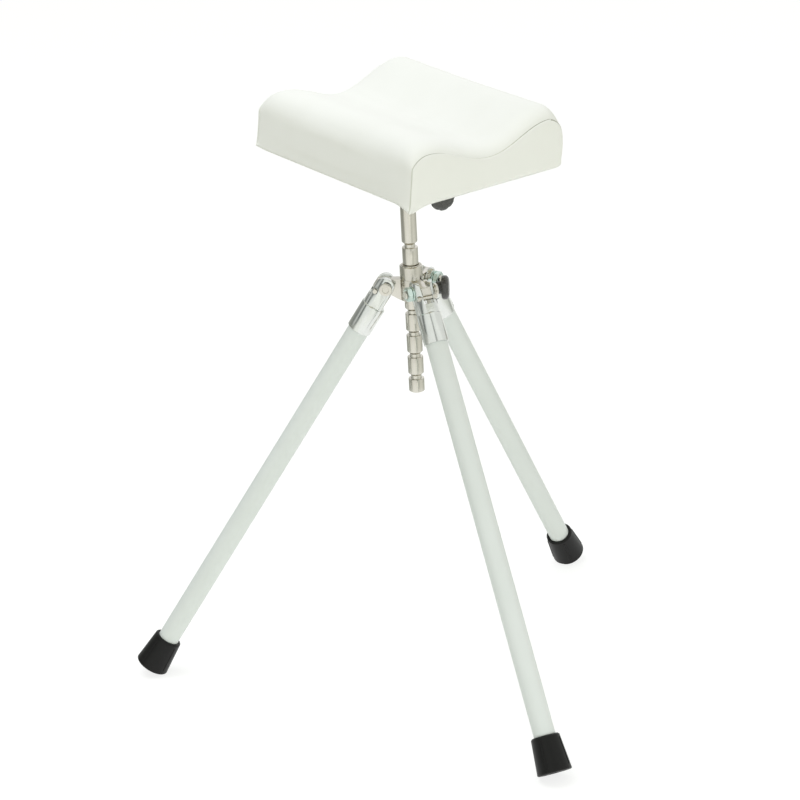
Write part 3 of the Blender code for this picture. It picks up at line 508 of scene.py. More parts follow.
# Pivot hardware: low round-headed bolts, hexagon nuts on washers, and stop pins across the ears that bear on
# the hub's lugs. Bolts and pins are nickel-plated; nuts and washers are zinc-plated, passivated bluish green.
def zinc_plate():
    """Zinc plate, blue passivated: pale metal with a cool green cast in soft patches, and a fine grain."""
    made, tree, spot = patchy(
        "zinc-plated steel, blue passivated",
        patch_size=6 * MM, detail=3, tones=("#d0e8e3", "#e4eee8"), rough=(0.22, 0.36),
    )
    grain_size = 0.25 * MM
    grain = add(tree, "TexNoise", {"Vector": spot, "Scale": 1 / grain_size, "Detail": 2})
    bump = add(tree, "Bump", {"Height": grain, "Strength": 0.15, "Distance": 0.02 * MM})
    return surfaced(made, {"Normal": bump, "Metallic": 1})


def bright_plate():
    """Nickel plate on turned steel: a warm bright grey, with fine lathe lines round the axis."""
    made, tree, spot = patchy(
        "nickel-plated turned steel",
        patch_size=9 * MM, detail=3, tones=("#d3cfc6", "#dddad1"), rough=(0.14, 0.24),
    )
    line_size = 0.7 * MM
    rings = add(tree, "Mapping", {"Vector": spot, "Scale": (0.01, 0.01, 1)})
    line = add(tree, "TexNoise", {"Vector": rings, "Scale": 1 / line_size, "Detail": 4})
    bump = add(tree, "Bump", {"Height": line, "Strength": 0.12, "Distance": 0.02 * MM})
    return surfaced(made, {"Normal": bump, "Metallic": 1})


def hexagon(flats, low, high, bore, crown=0.5):
    """A hexagon nut along Z: corners cut back to a cone at both ends, and a countersunk bore."""
    made = bmesh.new()
    corner = flats / 2 / math.cos(math.pi / 6)
    middle = Matrix.Translation((0, 0, (low + high) / 2))
    bmesh.ops.create_cone(
        made, cap_ends=True, segments=6, radius1=corner, radius2=corner, depth=high - low, matrix=middle,
    )
    face = flats / 2 * 0.97
    out = corner + 0.1
    drop = (out - face) * crown
    cones = [(0, high), (face, high), (out, high - drop), (out, low + drop), (face, low), (0, low)]
    made = combined(made, "INTERSECT", turned(cones))
    sink = 0.5
    tap = turned([
        (0, high + 1), (bore + sink, high + 1), (bore + sink, high), (bore, high - sink),
        (bore, low + sink), (bore + sink, low), (bore + sink, low - 1), (0, low - 1),
    ], 48)
    return combined(made, "DIFFERENCE", tap)


def threaded_end(radius, end, pitch, turns):
    """Profile points of a plain thread on the end of a bolt, as rings, with a chamfered tip."""
    tip = 0.8
    lead = 0.6
    depth = pitch * 0.5
    rings = []
    for i in range(turns, 0, -1):
        height = end + lead + i * pitch
        rings += [(radius, height), (radius, height - pitch * 0.25), (radius - depth, height - pitch * 0.5)]
    return rings + [(radius, end + tip), (radius - tip, end), (0, end)]


zinc = zinc_plate(), "zinc_steel"
nickel = bright_plate(), "bright_steel"
seat = ear_half + clear
head_radius = 6.6
head_gap = 1.3
head_neck = 5.3
head_top = seat + 4.2
head_edge = 0.9
dish_radius = 3.4
dish_depth = 0.5
dish_slope = 0.3
washer_radius = 7.6
washer_height = 1.2
nut_flats = 13
nut_height = 5
bolt_radius = 4
thread_gap = 0.25
tap_radius = bolt_radius + thread_gap
nut_seat = -(seat + washer_height + clear)
bolt_end = nut_seat - nut_height - 1.2
stop_pin_radius = 2.5
stop_pin_half = ear_half - clear
along_across = Matrix.Rotation(-math.pi / 2, 4, "X")


def bolt_shape():
    dish = head_top - dish_depth
    under = seat + head_gap
    head = [(0, dish), (dish_radius - dish_slope, dish), (dish_radius, head_top)]
    head += [(head_radius - head_edge, head_top), (head_radius - head_edge * 0.3, head_top - head_edge * 0.3)]
    head += [(head_radius, head_top - head_edge), (head_radius, under), (head_neck, under)]
    head += [(head_neck, seat), (bolt_radius, seat)]
    return turned(head + threaded_end(bolt_radius, bolt_end, pitch=1.25, turns=5), 72)


for leg, place in legs.items():
    body = f"leg_{leg}"
    lying = place @ along_across
    piece(f"bolt_{leg}", bolt_shape(), nickel, body, f"pivot_bolt_{leg}", place=lying)
    washer = eased(pipe(bolt_hole, washer_radius, -(seat + washer_height), -seat, 72), 0.15)
    piece(f"washer_{leg}", washer, zinc, body, f"pivot_washer_{leg}", place=lying)
    nut = hexagon(nut_flats, nut_seat - nut_height, nut_seat, tap_radius)
    piece(f"nut_{leg}", nut, zinc, body, f"pivot_nut_{leg}", place=lying)
    pin = eased(bar(stop_pin_radius, -stop_pin_half, stop_pin_half), 0.6, steps=3)
    moved(pin, Matrix.Translation((stop_pin_out, stop_pin_down, 0)))
    piece(f"pin_{leg}", pin, nickel, body, f"stop_pin_{leg}", place=lying)


# Hub: a turned steel sleeve with three hooked lugs and a boss welded on, bright-plated all over. The lugs
# carry the forks, and the boss takes the index plunger; a thin plated bush lines the top of the bore.
hub_place = Matrix.Translation(post_axis + Vector((0, 0, pivot_height)))
bore = 8.3
bush_radius = 9.5
sleeve_radius = 11.5
sleeve_top = 21.3
sleeve_end = -14.6
sleeve_chamfer = 0.8
sleeve_inside = 9.9
bush_seat = bush_radius + clear
bush_end = sleeve_top - 12
collar_radius = 12.2
lug_top = 7.4
lug_half = 5
lug_nose = 12
nose_slope = 4
nose_tip = 1.5
nose_under = 0
eye_radius = 8
pivot_out = 26
lug_inside = sleeve_inside - pivot_out
lug_foot = -14
boss_radius = 8.5
boss_end = 16
plunger_radius = 5
plunger_drop = 4
pull = Vector(joints["plunger_pull"]["axis"])
pull_turn = Matrix.Rotation(math.atan2(pull.y, pull.x), 4, "Z") @ Matrix.Rotation(math.pi / 2, 4, "Y")


def lug_shape():
    under = [math.radians(-a) for a in range(1, 111, 6)]
    hook = [(lug_inside, lug_top), (lug_nose - nose_slope, lug_top)]
    hook += [(lug_nose, nose_tip), (lug_nose, nose_under)]
    hook += [(eye_radius * math.cos(a), eye_radius * math.sin(a)) for a in under]
    hook += [(lug_foot, sleeve_end), (lug_inside, sleeve_end)]
    return extruded(outline(hook), -lug_half, lug_half)


def hub_shape():
    sleeve = turned([
        (bush_seat, sleeve_top), (sleeve_radius - sleeve_chamfer, sleeve_top),
        (sleeve_radius, sleeve_top - sleeve_chamfer), (sleeve_radius, lug_top), (collar_radius, lug_top),
        (collar_radius, sleeve_end), (bore, sleeve_end), (bore, bush_end), (bush_seat, bush_end),
        (bush_seat, sleeve_top),
    ])
    lugs = []
    eyes = []
    for place in stands.values():
        spot = (place.translation - hub_place.translation) / MM
        stand = Matrix.Translation(spot) @ place.to_3x3().to_4x4()
        lugs.append(moved(lug_shape(), stand))
        eyes.append(moved(bar(bolt_hole, -through, through), stand @ to_across))
    aside = Matrix.Translation((0, 0, -plunger_drop)) @ pull_turn
    boss = moved(bar(boss_radius, sleeve_inside, boss_end, 64), aside)
    thread = moved(bar(plunger_radius + clear, 4, 40), aside)
    hub = combined(sleeve, "UNION", *lugs, boss)
    return combined(hub, "DIFFERENCE", *eyes, thread)


hub = eased(hub_shape(), 0.5)
piece("plated_hub", hub, nickel, "hub", "hub", place=hub_place)

bush_foot = bush_end + clear
bush_top = sleeve_top + 0.6
bush_flare = 0.3
bush_walls = [(bore, bush_foot), (bore, bush_top - bush_flare * 1.5), (bore + bush_flare, bush_top)]
bush_walls += [(bush_radius, bush_top), (bush_radius, bush_foot)]
bush = eased(turned(bush_walls + bush_walls[:1]), 0.15)
piece("bush", bush, nickel, "swivel", "guide_bush", place=hub_place)


# Post: a round bright bar turned with index grooves, each a cone above and a square shoulder below for the
# pin. Its top is coped and welded to the cross tube of the tilt joint under the cushion.
post_radius = 8
post_end = -115
post_chamfer = 1
neck_radius = 5.35
groove_over, groove_under = 0.6, 2.8
groove_pitch = 23.5
groove_count = 7
grooves_above = 2
tilt_height = joints["cushion_tilt"]["pos_m"][2]
tilt_rise = (tilt_height - pivot_height) / MM
tilt_tube_radius = 10
cope_depth = 3
post_top = tilt_rise - tilt_tube_radius + cope_depth


def post_shape():
    line = [(0, post_top), (post_radius, post_top)]
    for i in range(groove_count):
        pin = (grooves_above - i) * groove_pitch - plunger_drop
        cone = pin + groove_over
        shoulder = pin - groove_under
        line += [(post_radius, cone + post_radius - neck_radius), (neck_radius, cone)]
        line += [(neck_radius, shoulder), (post_radius, shoulder)]
    line += [(post_radius, post_end + post_chamfer), (post_radius - post_chamfer, post_end), (0, post_end)]
    return eased(turned(line), 0.3)


piece("grooved_post", post_shape(), nickel, "post", "post", place=hub_place)

tilt_place = Matrix.Translation(post_axis + Vector((0, 0, tilt_height)))
tilt_along = tilt_place @ along_across
tilt_tube_half = 40
cross_tube = eased(pipe(bolt_hole, tilt_tube_radius, -tilt_tube_half, tilt_tube_half), 0.5)
piece("cross_tube", cross_tube, nickel, "post", "tilt_tube", place=tilt_along)

bead_radius = 1.7
bead_out = post_radius + 0.4
bead_drop = 0.6
bead_ripple = 0.25
bead_waves = 32
bead = bmesh.new()
bead_place = Matrix.Translation((bead_out, 0, 0)) @ to_across
bmesh.ops.create_circle(bead, segments=12, radius=bead_radius, matrix=bead_place)
bead_ring = bead.verts[:] + bead.edges[:]
bmesh.ops.spin(bead, geom=bead_ring, axis=(0, 0, 1), angle=math.tau, steps=96, use_merge=True)
for point in bead.verts:
    ripple = bead_ripple * math.cos(bead_waves * math.atan2(point.co.y, point.co.x))
    point.co.z += ripple - math.sqrt(max(tilt_tube_radius ** 2 - point.co.x ** 2, 0)) - bead_drop
piece("post_weld", faced_out(bead), nickel, "post", place=tilt_place)


# Index plunger: a threaded housing and lock nut in the hub's boss, a sprung pin in the post's groove, and a
# mushroom pull knob. The housing, nut, pin and spring are zinc-plated steel; the knob is moulded phenolic.
pull_place = Matrix.Translation(post_axis + Vector((0, 0, pivot_height - plunger_drop * MM))) @ pull_turn
housing_start, housing_end = 21, 24.5
housing_flats = 12
stem_hole = 1.8
pin_guide = 2.8
spring_room = 4
lock_flats = 16
lock_height = 4.2
lock_start = boss_end + clear
housing = hexagon(housing_flats, housing_start, housing_end, stem_hole)
piece("housing_head", housing, zinc, "hub", "plunger_housing", place=pull_place)
barrel = [
    (stem_hole, 21.2), (plunger_radius, 21.2), (plunger_radius, 9.5), (4, 8.6), (pin_guide, 8.6),
    (pin_guide, 11), (spring_room, 11), (spring_room, 20), (stem_hole, 20), (stem_hole, 21.2),
]
piece("housing_barrel", turned(barrel, 64), zinc, "hub", place=pull_place)
lock_nut = hexagon(lock_flats, lock_start, lock_start + lock_height, plunger_radius + thread_gap)
piece("lock_nut", lock_nut, zinc, "hub", "plunger_nut", place=pull_place)
nodes["plunger_pin"].data.materials.clear()
nodes["plunger_pin"].data.materials.append(zinc[0])
coil_start, coil_end = 12.8, 19.4
coil_radius = 2.75
coil_wire = 0.35
wire_sides = 10
coil_turns = 4
coil_steps = 24


def coil_shape():
    """A round wire wound into a compression spring along Z, with its ends closed."""
    made = bmesh.new()
    rings = []
    wire = [math.tau * k / wire_sides for k in range(wire_sides)]
    for i in range(coil_turns * coil_steps + 1):
        turn = math.tau * i / coil_steps
        out = Vector((math.cos(turn), math.sin(turn), 0))
        centre = out * coil_radius
        centre.z = coil_start + (coil_end - coil_start) * i / (coil_turns * coil_steps)
        rings.append([made.verts.new(centre + (out * math.cos(a) + Vector((0, 0, math.sin(a)))) * coil_wire)
                      for a in wire])
    for a, b in zip(rings, rings[1:]):
        for k in range(wire_sides):
            made.faces.new((a[k], a[k - 1], b[k - 1], b[k]))
    made.faces.new(rings[0])
    made.faces.new(rings[-1])
    return faced_out(made)


coil = piece("spring", coil_shape(), zinc, "hub", "plunger_spring", place=pull_place)
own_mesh(coil)


def black_phenolic():
    """Phenolic moulding, buffed: black greyed by handling, with a clear gloss and hair-fine scratches."""
    made, tree, spot = patchy(
        "black phenolic moulding",
        patch_size=8 * MM, detail=4, tones=("#3c3c3b", "#4a4a49"), rough=(0.18, 0.34),
    )
    scratch_size = 0.4 * MM
    scratch = add(tree, "TexNoise", {"Vector": spot, "Scale": 1 / scratch_size, "Detail": 1})
    bump = add(tree, "Bump", {"Height": scratch, "Strength": 0.06, "Distance": 0.02 * MM})
    return surfaced(made, {"Normal": bump, "IOR": 1.6})


def knob_shape(radius, start, neck, neck_radius, hole, disc=8, crown=4, under=2.4, blind=5):
    """A mushroom knob along Z: a rounded disc with a shallow crown on a neck with a blind hole."""
    base = start + neck
    top = base + disc
    dome = 0.35
    edge = 0.4
    wide = crown * 1.3
    crown_turn = [math.radians(90 * i / 10) for i in range(11)]
    under_turn = [math.radians(90 * i / 5) for i in range(6)]
    line = [(0, top)]
    line += [(radius - wide + wide * math.sin(a), top - dome - (crown - dome) * (1 - math.cos(a)))
             for a in crown_turn]
    line += [(radius - under * (1 - math.cos(a)), base + under * (1 - math.sin(a))) for a in under_turn]
    line += [(neck_radius, base), (neck_radius, start + edge), (neck_radius - edge, start), (hole, start)]
    return turned(line + [(hole, top - blind), (0, top - blind)])


phenolic = black_phenolic(), "black_plastic"
knob = knob_shape(radius=12.25, start=24.8, neck=5.2, neck_radius=6.5, hole=stem_hole)
piece("pull_knob", knob, phenolic, "plunger", "height_knob", place=pull_place)


# Tilt joint: two bent steel ears screwed under the board, clamped on the cross tube by a rod with a nut at
# the far end and a lobed knob at the near end. Ears, rod, nut, washers and screws are zinc-plated.
def from_frame(node, size):
    """A merged copy of a CAD node in millimetres, with its sharp edges rounded."""
    made = bmesh.new()
    made.from_mesh(nodes[node].data)
    return eased(moved(made, Matrix.Scale(1 / MM, 4)), size)


for end in ("near", "far"):
    ear = from_frame(f"tilt_ear_{end}", 0.4)
    piece(f"bent_ear_{end}", ear, zinc, "cushion", f"tilt_ear_{end}")
    ring = from_frame(f"tilt_washer_{end}", 0.15)
    piece(f"ear_washer_{end}", ring, zinc, "cushion", f"tilt_washer_{end}")
    for hand in ("left", "right"):
        screw = from_frame(f"ear_screw_{end}_{hand}", 0.2)
        piece(f"screw_{end}_{hand}", screw, zinc, "cushion", f"ear_screw_{end}_{hand}")

clamp_face = 45.1
clamp_nut = hexagon(nut_flats, clamp_face, clamp_face + nut_height, tap_radius)
piece("clamp_nut", clamp_nut, zinc, "cushion", "tilt_nut", place=tilt_along)
rod_end = clamp_face + nut_height + 3
rod_start = -60.7
rod_chamfer = 0.6
thread_start = 38
rod_line = [(0, rod_start), (bolt_radius - rod_chamfer, rod_start), (bolt_radius, rod_start + rod_chamfer)]
rod_line += [(bolt_radius, thread_start)]
rod_line += [(r, -h) for r, h in threaded_end(bolt_radius, -rod_end, pitch=1.25, turns=9)]
piece("clamp_rod", turned(rod_line, 64), zinc, "tilt_clamp", "tilt_rod", place=tilt_along)

lobes = 8
lobe_depth = 0.6
lobe_start = 9
lobe_reach = 4
clamp_knob = knob_shape(radius=14.3, start=clamp_face, neck=12.9, neck_radius=6.5, hole=bolt_hole)
for point in clamp_knob.verts:
    share = min(max((point.co.xy.length - lobe_start) / lobe_reach, 0), 1)
    bearing = math.atan2(point.co.y, point.co.x)
    pinch = lobe_depth * share * max(-math.cos(lobes * bearing), 0) ** 2
    point.co.xy *= 1 - pinch / max(point.co.xy.length, 1)
near_along = tilt_along @ Matrix.Rotation(math.pi, 4, "X")
piece("clamp_knob", clamp_knob, phenolic, "tilt_clamp", "tilt_knob", place=near_along)


# Cushion: foam on a plywood board under a tight white vinyl cover. One long strip runs up one side, over the
# wave and down the other; two end panels are sewn to it with a plain seam, and the hem is stapled below.
cushion_low, cushion_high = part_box("cushion_cover")
cushion_place = Matrix.Translation((post_axis.x, post_axis.y, cushion_low.z))
half_length = (cushion_high.y - cushion_low.y) / 2 / MM
low_side, low_turn = -91, 2.2
low_shoulder, low_side_height = -86, 33
low_crest, low_crest_height = -62, 57
dip, dip_height = 5, 40.5
high_crest, high_crest_height = 80, 64
high_side, high_side_height = 97, 31
base_high = 88.5
section_points = 141
easing_passes = 5
easing_floor = 12


def swell(start, end, count):
    """A smooth rise or fall between two crests, level at both."""
    points = []
    for i in range(count):
        share = i / count
        ease = (1 - math.cos(math.pi * share)) / 2
        across = start[0] + (end[0] - start[0]) * share
        points.append(Vector((across, start[1] + (end[1] - start[1]) * ease)))
    return points


def bend(centre, wide, tall, start, end, count, square=2):
    """A quarter round of the section, without its last point; squarer than an ellipse above 2."""
    points = []
    for i in range(count):
        turn = math.radians(start + (end - start) * i / count)
        across, up = math.cos(turn), math.sin(turn)
        across = math.copysign(abs(across) ** (2 / square), across)
        up = math.copysign(abs(up) ** (2 / square), up)
        points.append(Vector((centre[0] + wide * across, centre[1] + tall * up)))
    return points


def wave_line():
    """The section from the low side's foot over both crests to the high side's foot, in even steps."""
    line = bend((low_side + low_turn, low_turn), low_turn, low_turn, 270, 180, 8)
    line += bend((low_crest, low_side_height), low_crest - low_shoulder,
                 low_crest_height - low_side_height, 180, 90, 40, square=2.35)
    line += swell((low_crest, low_crest_height), (dip, dip_height), 30)
    line += swell((dip, dip_height), (high_crest, high_crest_height), 30)
    line += bend((high_crest, high_side_height), high_side - high_crest,
                 high_crest_height - high_side_height, 90, 0, 40, square=2.2)
    line += bend((base_high, high_side_height), high_side - base_high, high_side_height, 0, -90, 20)
    line.append(Vector((base_high, 0)))
    travel = [0]
    for a, b in zip(line, line[1:]):
        travel.append(travel[-1] + (b - a).length)
    even = []
    j = 0
    for i in range(section_points):
        goal = travel[-1] * i / (section_points - 1)
        while j < len(line) - 2 and travel[j + 1] < goal:
            j += 1
        even.append(line[j].lerp(line[j + 1], (goal - travel[j]) / (travel[j + 1] - travel[j])))
    for _ in range(easing_passes):
        threes = zip(even, even[1:], even[2:])
        mid = [b.lerp((a + c) / 2, 0.5 if b.y > easing_floor else 0) for a, b, c in threes]
        even = even[:1] + mid + even[-1:]
    return even


def outward_of(line):
    """The outward direction at each point of a section line."""
    spans = [b - a for a, b in zip(line[:1] + line, line[1:] + line[-1:])]
    return [Vector((-span.y, span.x)).normalized() for span in spans]


wave = wave_line()
outward = outward_of(wave)

# Seam: the strip rolls down to it at both ends, and it lies in a narrow nick with the thread at the bottom;
# the thread's grey there is painted shade in the nick.
seam_set_in = 3
seam_along = half_length - seam_set_in
seam_inset_low = 1.8
seam_inset_high = 3.4
inset_height = 8
corner_height = 4
seam_drop_low = 9.2
seam_drop_high = 11.5
seam_depth = 2
seam_side_share = 0.25
seam_lip = 1.1
lip_ease = 1.6
seam_thread_and_shade_reach = 0.95
seam_profile = ((0.9, 0.08), (0.45, 0.45), (0, 1))
roll_length = 22
roll_stop = 1.1
roll_angle = math.radians(75)
roll_steps = 11
flat_half = seam_along - roll_length
flat_steps = 12
seam_line = []
seam_nick = []
corner_fade = [min(here.y / corner_height, 1) for here in wave]
for here, out, fade in zip(wave, outward, corner_fade):
    over = max(out.y, 0)
    top = seam_drop_low + (seam_drop_high - seam_drop_low) * (here.x - low_crest) / (high_crest - low_crest)
    aside = (seam_inset_low if out.x < 0 else seam_inset_high) * min(here.y / inset_height, 1)
    seam_line.append(here - Vector((out.x * aside, top * over * (2 - over))))
    seam_nick.append(fade * (seam_side_share + (1 - seam_side_share) * over))
seam_out = outward_of(seam_line)
stations = [(flat_half * k / flat_steps, 0, 0) for k in range(flat_steps + 1)]
for k in range(1, roll_steps + 1):
    turn = roll_angle * k / roll_steps
    along = flat_half + (roll_length - roll_stop) * math.sin(turn) / math.sin(roll_angle)
    stations.append((along, (1 - math.cos(turn)) / (1 - math.cos(roll_angle)), 0))
stations += [(seam_along - back, 1, seam_depth * depth) for back, depth in seam_profile]
stations = [(-along, share, depth) for along, share, depth in stations[:0:-1]] + stations

cover = bmesh.new()
slack = cover.verts.layers.float.new("slack")
bmesh.ops.create_grid(cover, x_segments=section_points - 1, y_segments=len(stations) - 1, size=1)
for point in cover.verts:
    i = round((point.co.x + 1) / 2 * (section_points - 1))
    along, share, depth = stations[round((point.co.y + 1) / 2 * (len(stations) - 1))]
    spot = wave[i].lerp(seam_line[i], share) - seam_out[i] * depth * seam_nick[i]
    point.co = (spot.x, along, spot.y)
    point[slack] = seam_along - abs(along)
for face in cover.faces:
    # The faces at the seam's bottom take the thread material: thread with the nick's shade painted into its
    # grey.
    face.material_index = int(max(point[slack] for point in face.verts) < seam_thread_and_shade_reach)


def nearest(spot, line):
    """How far a point lies from a line of points."""
    best = 1e9
    for a, b in zip(line, line[1:]):
        share = min(max((spot - a).dot(b - a) / (b - a).length_squared, 0), 1)
        best = min(best, (spot - a.lerp(b, share)).length)
    return best


def quarter(share):
    """The rise of a quarter round, from 0 to 1."""
    return math.sqrt(1 - (1 - min(share, 1)) ** 2)


panel_rows = 26
panel_roll = 8
panel_turn = 1.4
panel_turn_reach = 4
# A narrow band of end-panel faces beside the seam at the high crest takes the thread material, as a painted
# shade line.
painted_shade_start, painted_shade_end = 0.85, 2
painted_shade_foot = 14
for side in (-1, 1):
    panel = bmesh.new()
    panel_slack = panel.verts.layers.float.new("slack")
    lead = len(seam_profile)
    bmesh.ops.create_grid(panel, x_segments=section_points - 1, y_segments=panel_rows, size=1)
    for point in panel.verts:
        i = round((point.co.x + 1) / 2 * (section_points - 1))
        row = round((point.co.y + 1) / 2 * panel_rows)
        if row < lead:
            back, depth = seam_profile[lead - 1 - row]
            spot = seam_line[i] - seam_out[i] * seam_depth * depth * seam_nick[i]
            inside = back
            out = seam_lip * back / (seam_profile[0][0] * lip_ease) * corner_fade[i]
        else:
            foot = wave[0].lerp(wave[-1], i / (section_points - 1))
            spot = seam_line[i].lerp(foot, ((row - lead) / (panel_rows - lead)) ** 2)
            inside = nearest(spot, seam_line)
            out = (seam_lip + (seam_set_in - seam_lip) * quarter(inside / panel_roll)) * corner_fade[i]
            out -= panel_turn * (1 - quarter(spot.y / panel_turn)) * min(inside / panel_turn_reach, 1)
            inside += seam_profile[0][0]
        point.co = (spot.x, side * (seam_along + out), spot.y)
        point[panel_slack] = inside
    for face in panel.faces:
        spot = face.calc_center_median()
        far = [point[panel_slack] for point in face.verts]
        # The painted shade line beside the high crest's seam.
        beside_crest = spot.x > high_crest and spot.z > painted_shade_foot
        face.material_index = int(beside_crest and min(far) > painted_shade_start and max(far) < painted_shade_end)
    cover.from_mesh(as_mesh("panel", panel))
bmesh.ops.remove_doubles(cover, verts=cover.verts, dist=0.01)
bmesh.ops.dissolve_degenerate(cover, edges=cover.edges, dist=0.005)

# Air: a coarse closed copy of the cover is blown up as cloth, held at its seams and foot. What it swells by
# is passed back to the sewn cover, less the mean, so that the cushion keeps its size and gains in fullness.
air_cell = 5
air_pressure = 4
air_frames = 20
air_cap = 1
air_reach = 15
held_by_seam, held_height = 5, 4
free_start, free_reach = 2, 14


def air_fill(made):
    """Blows up the sewn cover a little, fully away from its seams and foot and not at all beside them."""
    copy = made.copy()
    bmesh.ops.holes_fill(copy, edges=[edge for edge in copy.edges if edge.is_boundary])
    item = linked("air", as_mesh("air", moved(faced_out(copy), Matrix.Scale(MM, 4))))
    coarse = item.modifiers.new("Coarse", "REMESH")
    coarse.mode = "VOXEL"
    coarse.voxel_size = air_cell * MM
    bpy.context.view_layer.update()
    graph = bpy.context.evaluated_depsgraph_get()
    item.data = bpy.data.meshes.new_from_object(item.evaluated_get(graph))
    item.modifiers.clear()
    held = item.vertex_groups.new(name="held")
    rest = [point.co / MM for point in item.data.vertices]
    for k, spot in enumerate(rest):
        by_end = abs(spot.y) > seam_along - held_by_seam
        if by_end and nearest(spot.xz, seam_line) < held_by_seam or spot.z < held_height:
            held.add([k], 1, "REPLACE")
    air = item.modifiers.new("Air", "CLOTH")
    air.settings.quality = 6
    air.settings.tension_stiffness = 40
    air.settings.compression_stiffness = 40
    air.settings.bending_stiffness = 2
    air.settings.use_pressure = True
    air.settings.uniform_pressure_force = air_pressure
    air.settings.vertex_group_mass = "held"
    air.settings.effector_weights.gravity = 0
    air.collision_settings.use_collision = False
    air.point_cache.frame_start = 1
    air.point_cache.frame_end = air_frames
    for step in range(1, air_frames + 1):
        scene.frame_set(step)
    blown = item.evaluated_get(bpy.context.evaluated_depsgraph_get()).to_mesh()
    moves = [point.co / MM - spot for point, spot in zip(blown.vertices, rest)]
    bpy.data.objects.remove(item, do_unlink=True)
    scene.frame_set(1)
    tree = kdtree.KDTree(len(rest))
    for k, spot in enumerate(rest):
        tree.insert(spot, k)
    tree.balance()
    made.normal_update()
    rises = {}
    for point in made.verts:
        near = [(k, (1.01 - gap / air_reach) ** 2) for _, k, gap in tree.find_range(point.co, air_reach)]
        move = sum((moves[k] * weight for k, weight in near), Vector()) / sum(weight for _, weight in near)
        rises[point] = min(max(move.dot(point.normal), -air_cap), air_cap)
    mean = sum(rises.values()) / len(rises)
    for point, rise in rises.items():
        free = min(max((point[slack] - free_start) / free_reach, 0), 1)
        free *= min(max(point.co.z / free_reach, 0), 1)
        point.co += point.normal * (rise - mean) * free


faced_out(cover)
air_fill(cover)

# Lower edge: it runs a little uphill to the high side, and on the low side its near corner hangs down.
rim_low, rim_high = -1.2, 2.2
rim_reach = 22
near_sag, far_sag = 6.4, -1.5
sag_reach = 25
for point in cover.verts:
    x, y, z = point.co
    rim = rim_low + (rim_high - rim_low) * (x - low_side) / (base_high - low_side)
    corner = math.hypot(x - low_side, half_length - abs(y))
    sag = (near_sag if y < 0 else far_sag) * max(1 - corner / sag_reach, 0) ** 1.5
    point.co.z += (rim - sag) * max(1 - z / rim_reach, 0)

# Hem: turned under the board and stapled; inside it the cover closes round the board with a small gap.
hem_reach = 20
hem_wall = 1.2
board_gap = 0.3
board_low, board_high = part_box("cushion_board")
board_left = (board_low.x - post_axis.x) / MM
board_right = (board_high.x - post_axis.x) / MM
board_y = (board_high.y - board_low.y) / 2 / MM
board_top = (board_high.z - cushion_low.z) / MM
board_mid = (board_left + board_right) / 2


def hem_step(height, reach=None, stretch=None):
    """Extrudes the open rim and lays it at a height: drawn in to a reach inside the board, or stretched."""
    rim = [edge for edge in cover.edges if edge.is_boundary]
    grown = bmesh.ops.extrude_edge_only(cover, edges=rim)["geom"]
    for point in [part for part in grown if isinstance(part, bmesh.types.BMVert)]:
        x, y = point.co.x, point.co.y
        if reach is not None:
            x = min(max(x, board_left + reach), board_right - reach)
            y = min(max(y, reach - board_y), board_y - reach)
        if stretch:
            x = board_mid + (x - board_mid) * stretch[0]
            y *= stretch[1]
        point.co = (x, y, height)
    bmesh.ops.remove_doubles(cover, verts=cover.verts, dist=0.01)


board_half = (board_right - board_left) / 2
hem_step(0, reach=0)
hem_step(0, reach=hem_reach)
hem_step(hem_wall)
hem_step(hem_wall, stretch=((board_half + board_gap) / (board_half - hem_reach),
                            (board_y + board_gap) / (board_y - hem_reach)))
hem_step(board_top + board_gap)
closing = bmesh.ops.holes_fill(cover, edges=[edge for edge in cover.edges if edge.is_boundary])
bmesh.ops.triangulate(cover, faces=closing["faces"])
bmesh.ops.dissolve_degenerate(cover, edges=cover.edges, dist=0.005)
faced_out(cover)


def white_vinyl():
    """PVC leathercloth: white with a faint warm green in it, half gloss, with a fine pebbled grain."""
    made, tree, spot = patchy(
        "white PVC leathercloth",
        patch_size=45 * MM, detail=3, tones=("#f1f2ed", "#f5f6f2"), rough=(0.4, 0.5),
    )
    grain_size = 0.9 * MM
    grain = add(tree, "TexVoronoi", {"Vector": spot, "Scale": 1 / grain_size}, feature="SMOOTH_F1")
    bump = add(tree, "Bump", {"Height": grain, "Strength": 0.2, "Distance": 0.06 * MM}, invert=True)
    return surfaced(made, {"Normal": bump, "IOR": 1.5})


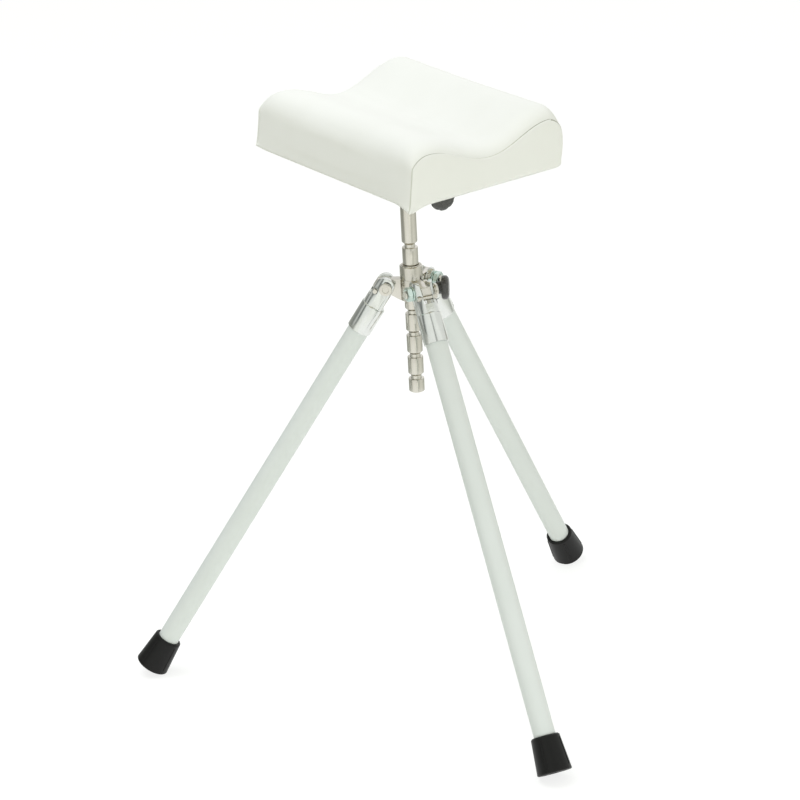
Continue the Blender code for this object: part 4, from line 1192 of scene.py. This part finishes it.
def thread_with_painted_shade():
    """Polyester sewing thread in the seam's nick, its grey a painted seam shade: grey high on the wave, and
    white lower down.
    """
    made, tree, spot = blank("polyester thread with painted seam shade, pale grey")
    stitch_length = 3 * MM
    # The grey is painted seam shade: full above one height, and fading to white below another.
    painted_shade_low, painted_shade_high = cushion_low.z + 34 * MM, cushion_low.z + 54 * MM
    strand = add(tree, "TexNoise", {"Vector": spot, "Scale": 1 / stitch_length, "Detail": 2})
    grey = add(tree, "MixRGB", {0: strand, 1: linear("#a2a296"), 2: linear("#b8b8ac")})
    height = add(tree, "SeparateXYZ", {"Vector": spot}).outputs["Z"]
    painted_shade_by_height = add(tree, "MapRange", {"Value": height, "From Min": painted_shade_low, "From Max": painted_shade_high})
    tone = add(tree, "MixRGB", {0: painted_shade_by_height, 1: linear("#dcddd2"), 2: grey})
    return surfaced(made, {"Base Color": tone, "Roughness": 0.8})


vinyl = white_vinyl(), "white_vinyl"
cushion = piece(
    "vinyl_cushion", cover, vinyl, "cushion", "cushion_cover", "cushion_foam", place=cushion_place,
)
# Second slot: the seam thread, with painted shade in its grey.
cushion.data.materials.append(thread_with_painted_shade())
cushion.data.set_sharp_from_angle(angle=math.radians(75))


def bare_plywood():
    """Birch plywood, sanded and bare: pale straw with long soft grain and darker hair lines."""
    made, tree, spot = blank("birch plywood, bare")
    grain_width = 3 * MM
    stretch = add(tree, "Mapping", {"Vector": spot, "Scale": (1, 0.05, 1)})
    grain = add(tree, "TexNoise", {"Vector": stretch, "Scale": 1 / grain_width, "Detail": 6})
    tone = add(tree, "MixRGB", {0: grain, 1: linear("#cabda4"), 2: linear("#dfd6c2")})
    bump = add(tree, "Bump", {"Height": grain, "Strength": 0.2, "Distance": 0.1 * MM})
    return surfaced(made, {"Base Color": tone, "Normal": bump, "Roughness": 0.65})


nodes["cushion_board"].data.materials.clear()
nodes["cushion_board"].data.materials.append(bare_plywood())

staple_crown = 10
staple_wire = 1.1
staple_height = 0.7
staple_edge = 0.25
staple_pitch = 24
end_pitch = staple_pitch * 0.72
staple_set_in = 6
staples = bmesh.new()
row_left = board_left + hem_reach - staple_set_in
row_right = board_right - hem_reach + staple_set_in
row_y = board_y - hem_reach + staple_set_in
spots = []
for k in range(-3, 4):
    spots += [(board_mid + k * end_pitch, row_y, 0), (board_mid + k * end_pitch, -row_y, 0)]
for k in range(-4, 5):
    spots += [(row_right, k * staple_pitch, 90), (row_left, k * staple_pitch, 90)]
for x, y, angle in spots:
    place = Matrix.Translation((x, y, -staple_edge)) @ Matrix.Rotation(math.radians(angle), 4, "Z")
    stretch = Matrix.Diagonal((staple_crown, staple_wire, staple_height, 1))
    bmesh.ops.create_cube(staples, size=1, matrix=place @ stretch)
piece("hem_staples", eased(staples, staple_edge), zinc, "cushion", place=cushion_place)
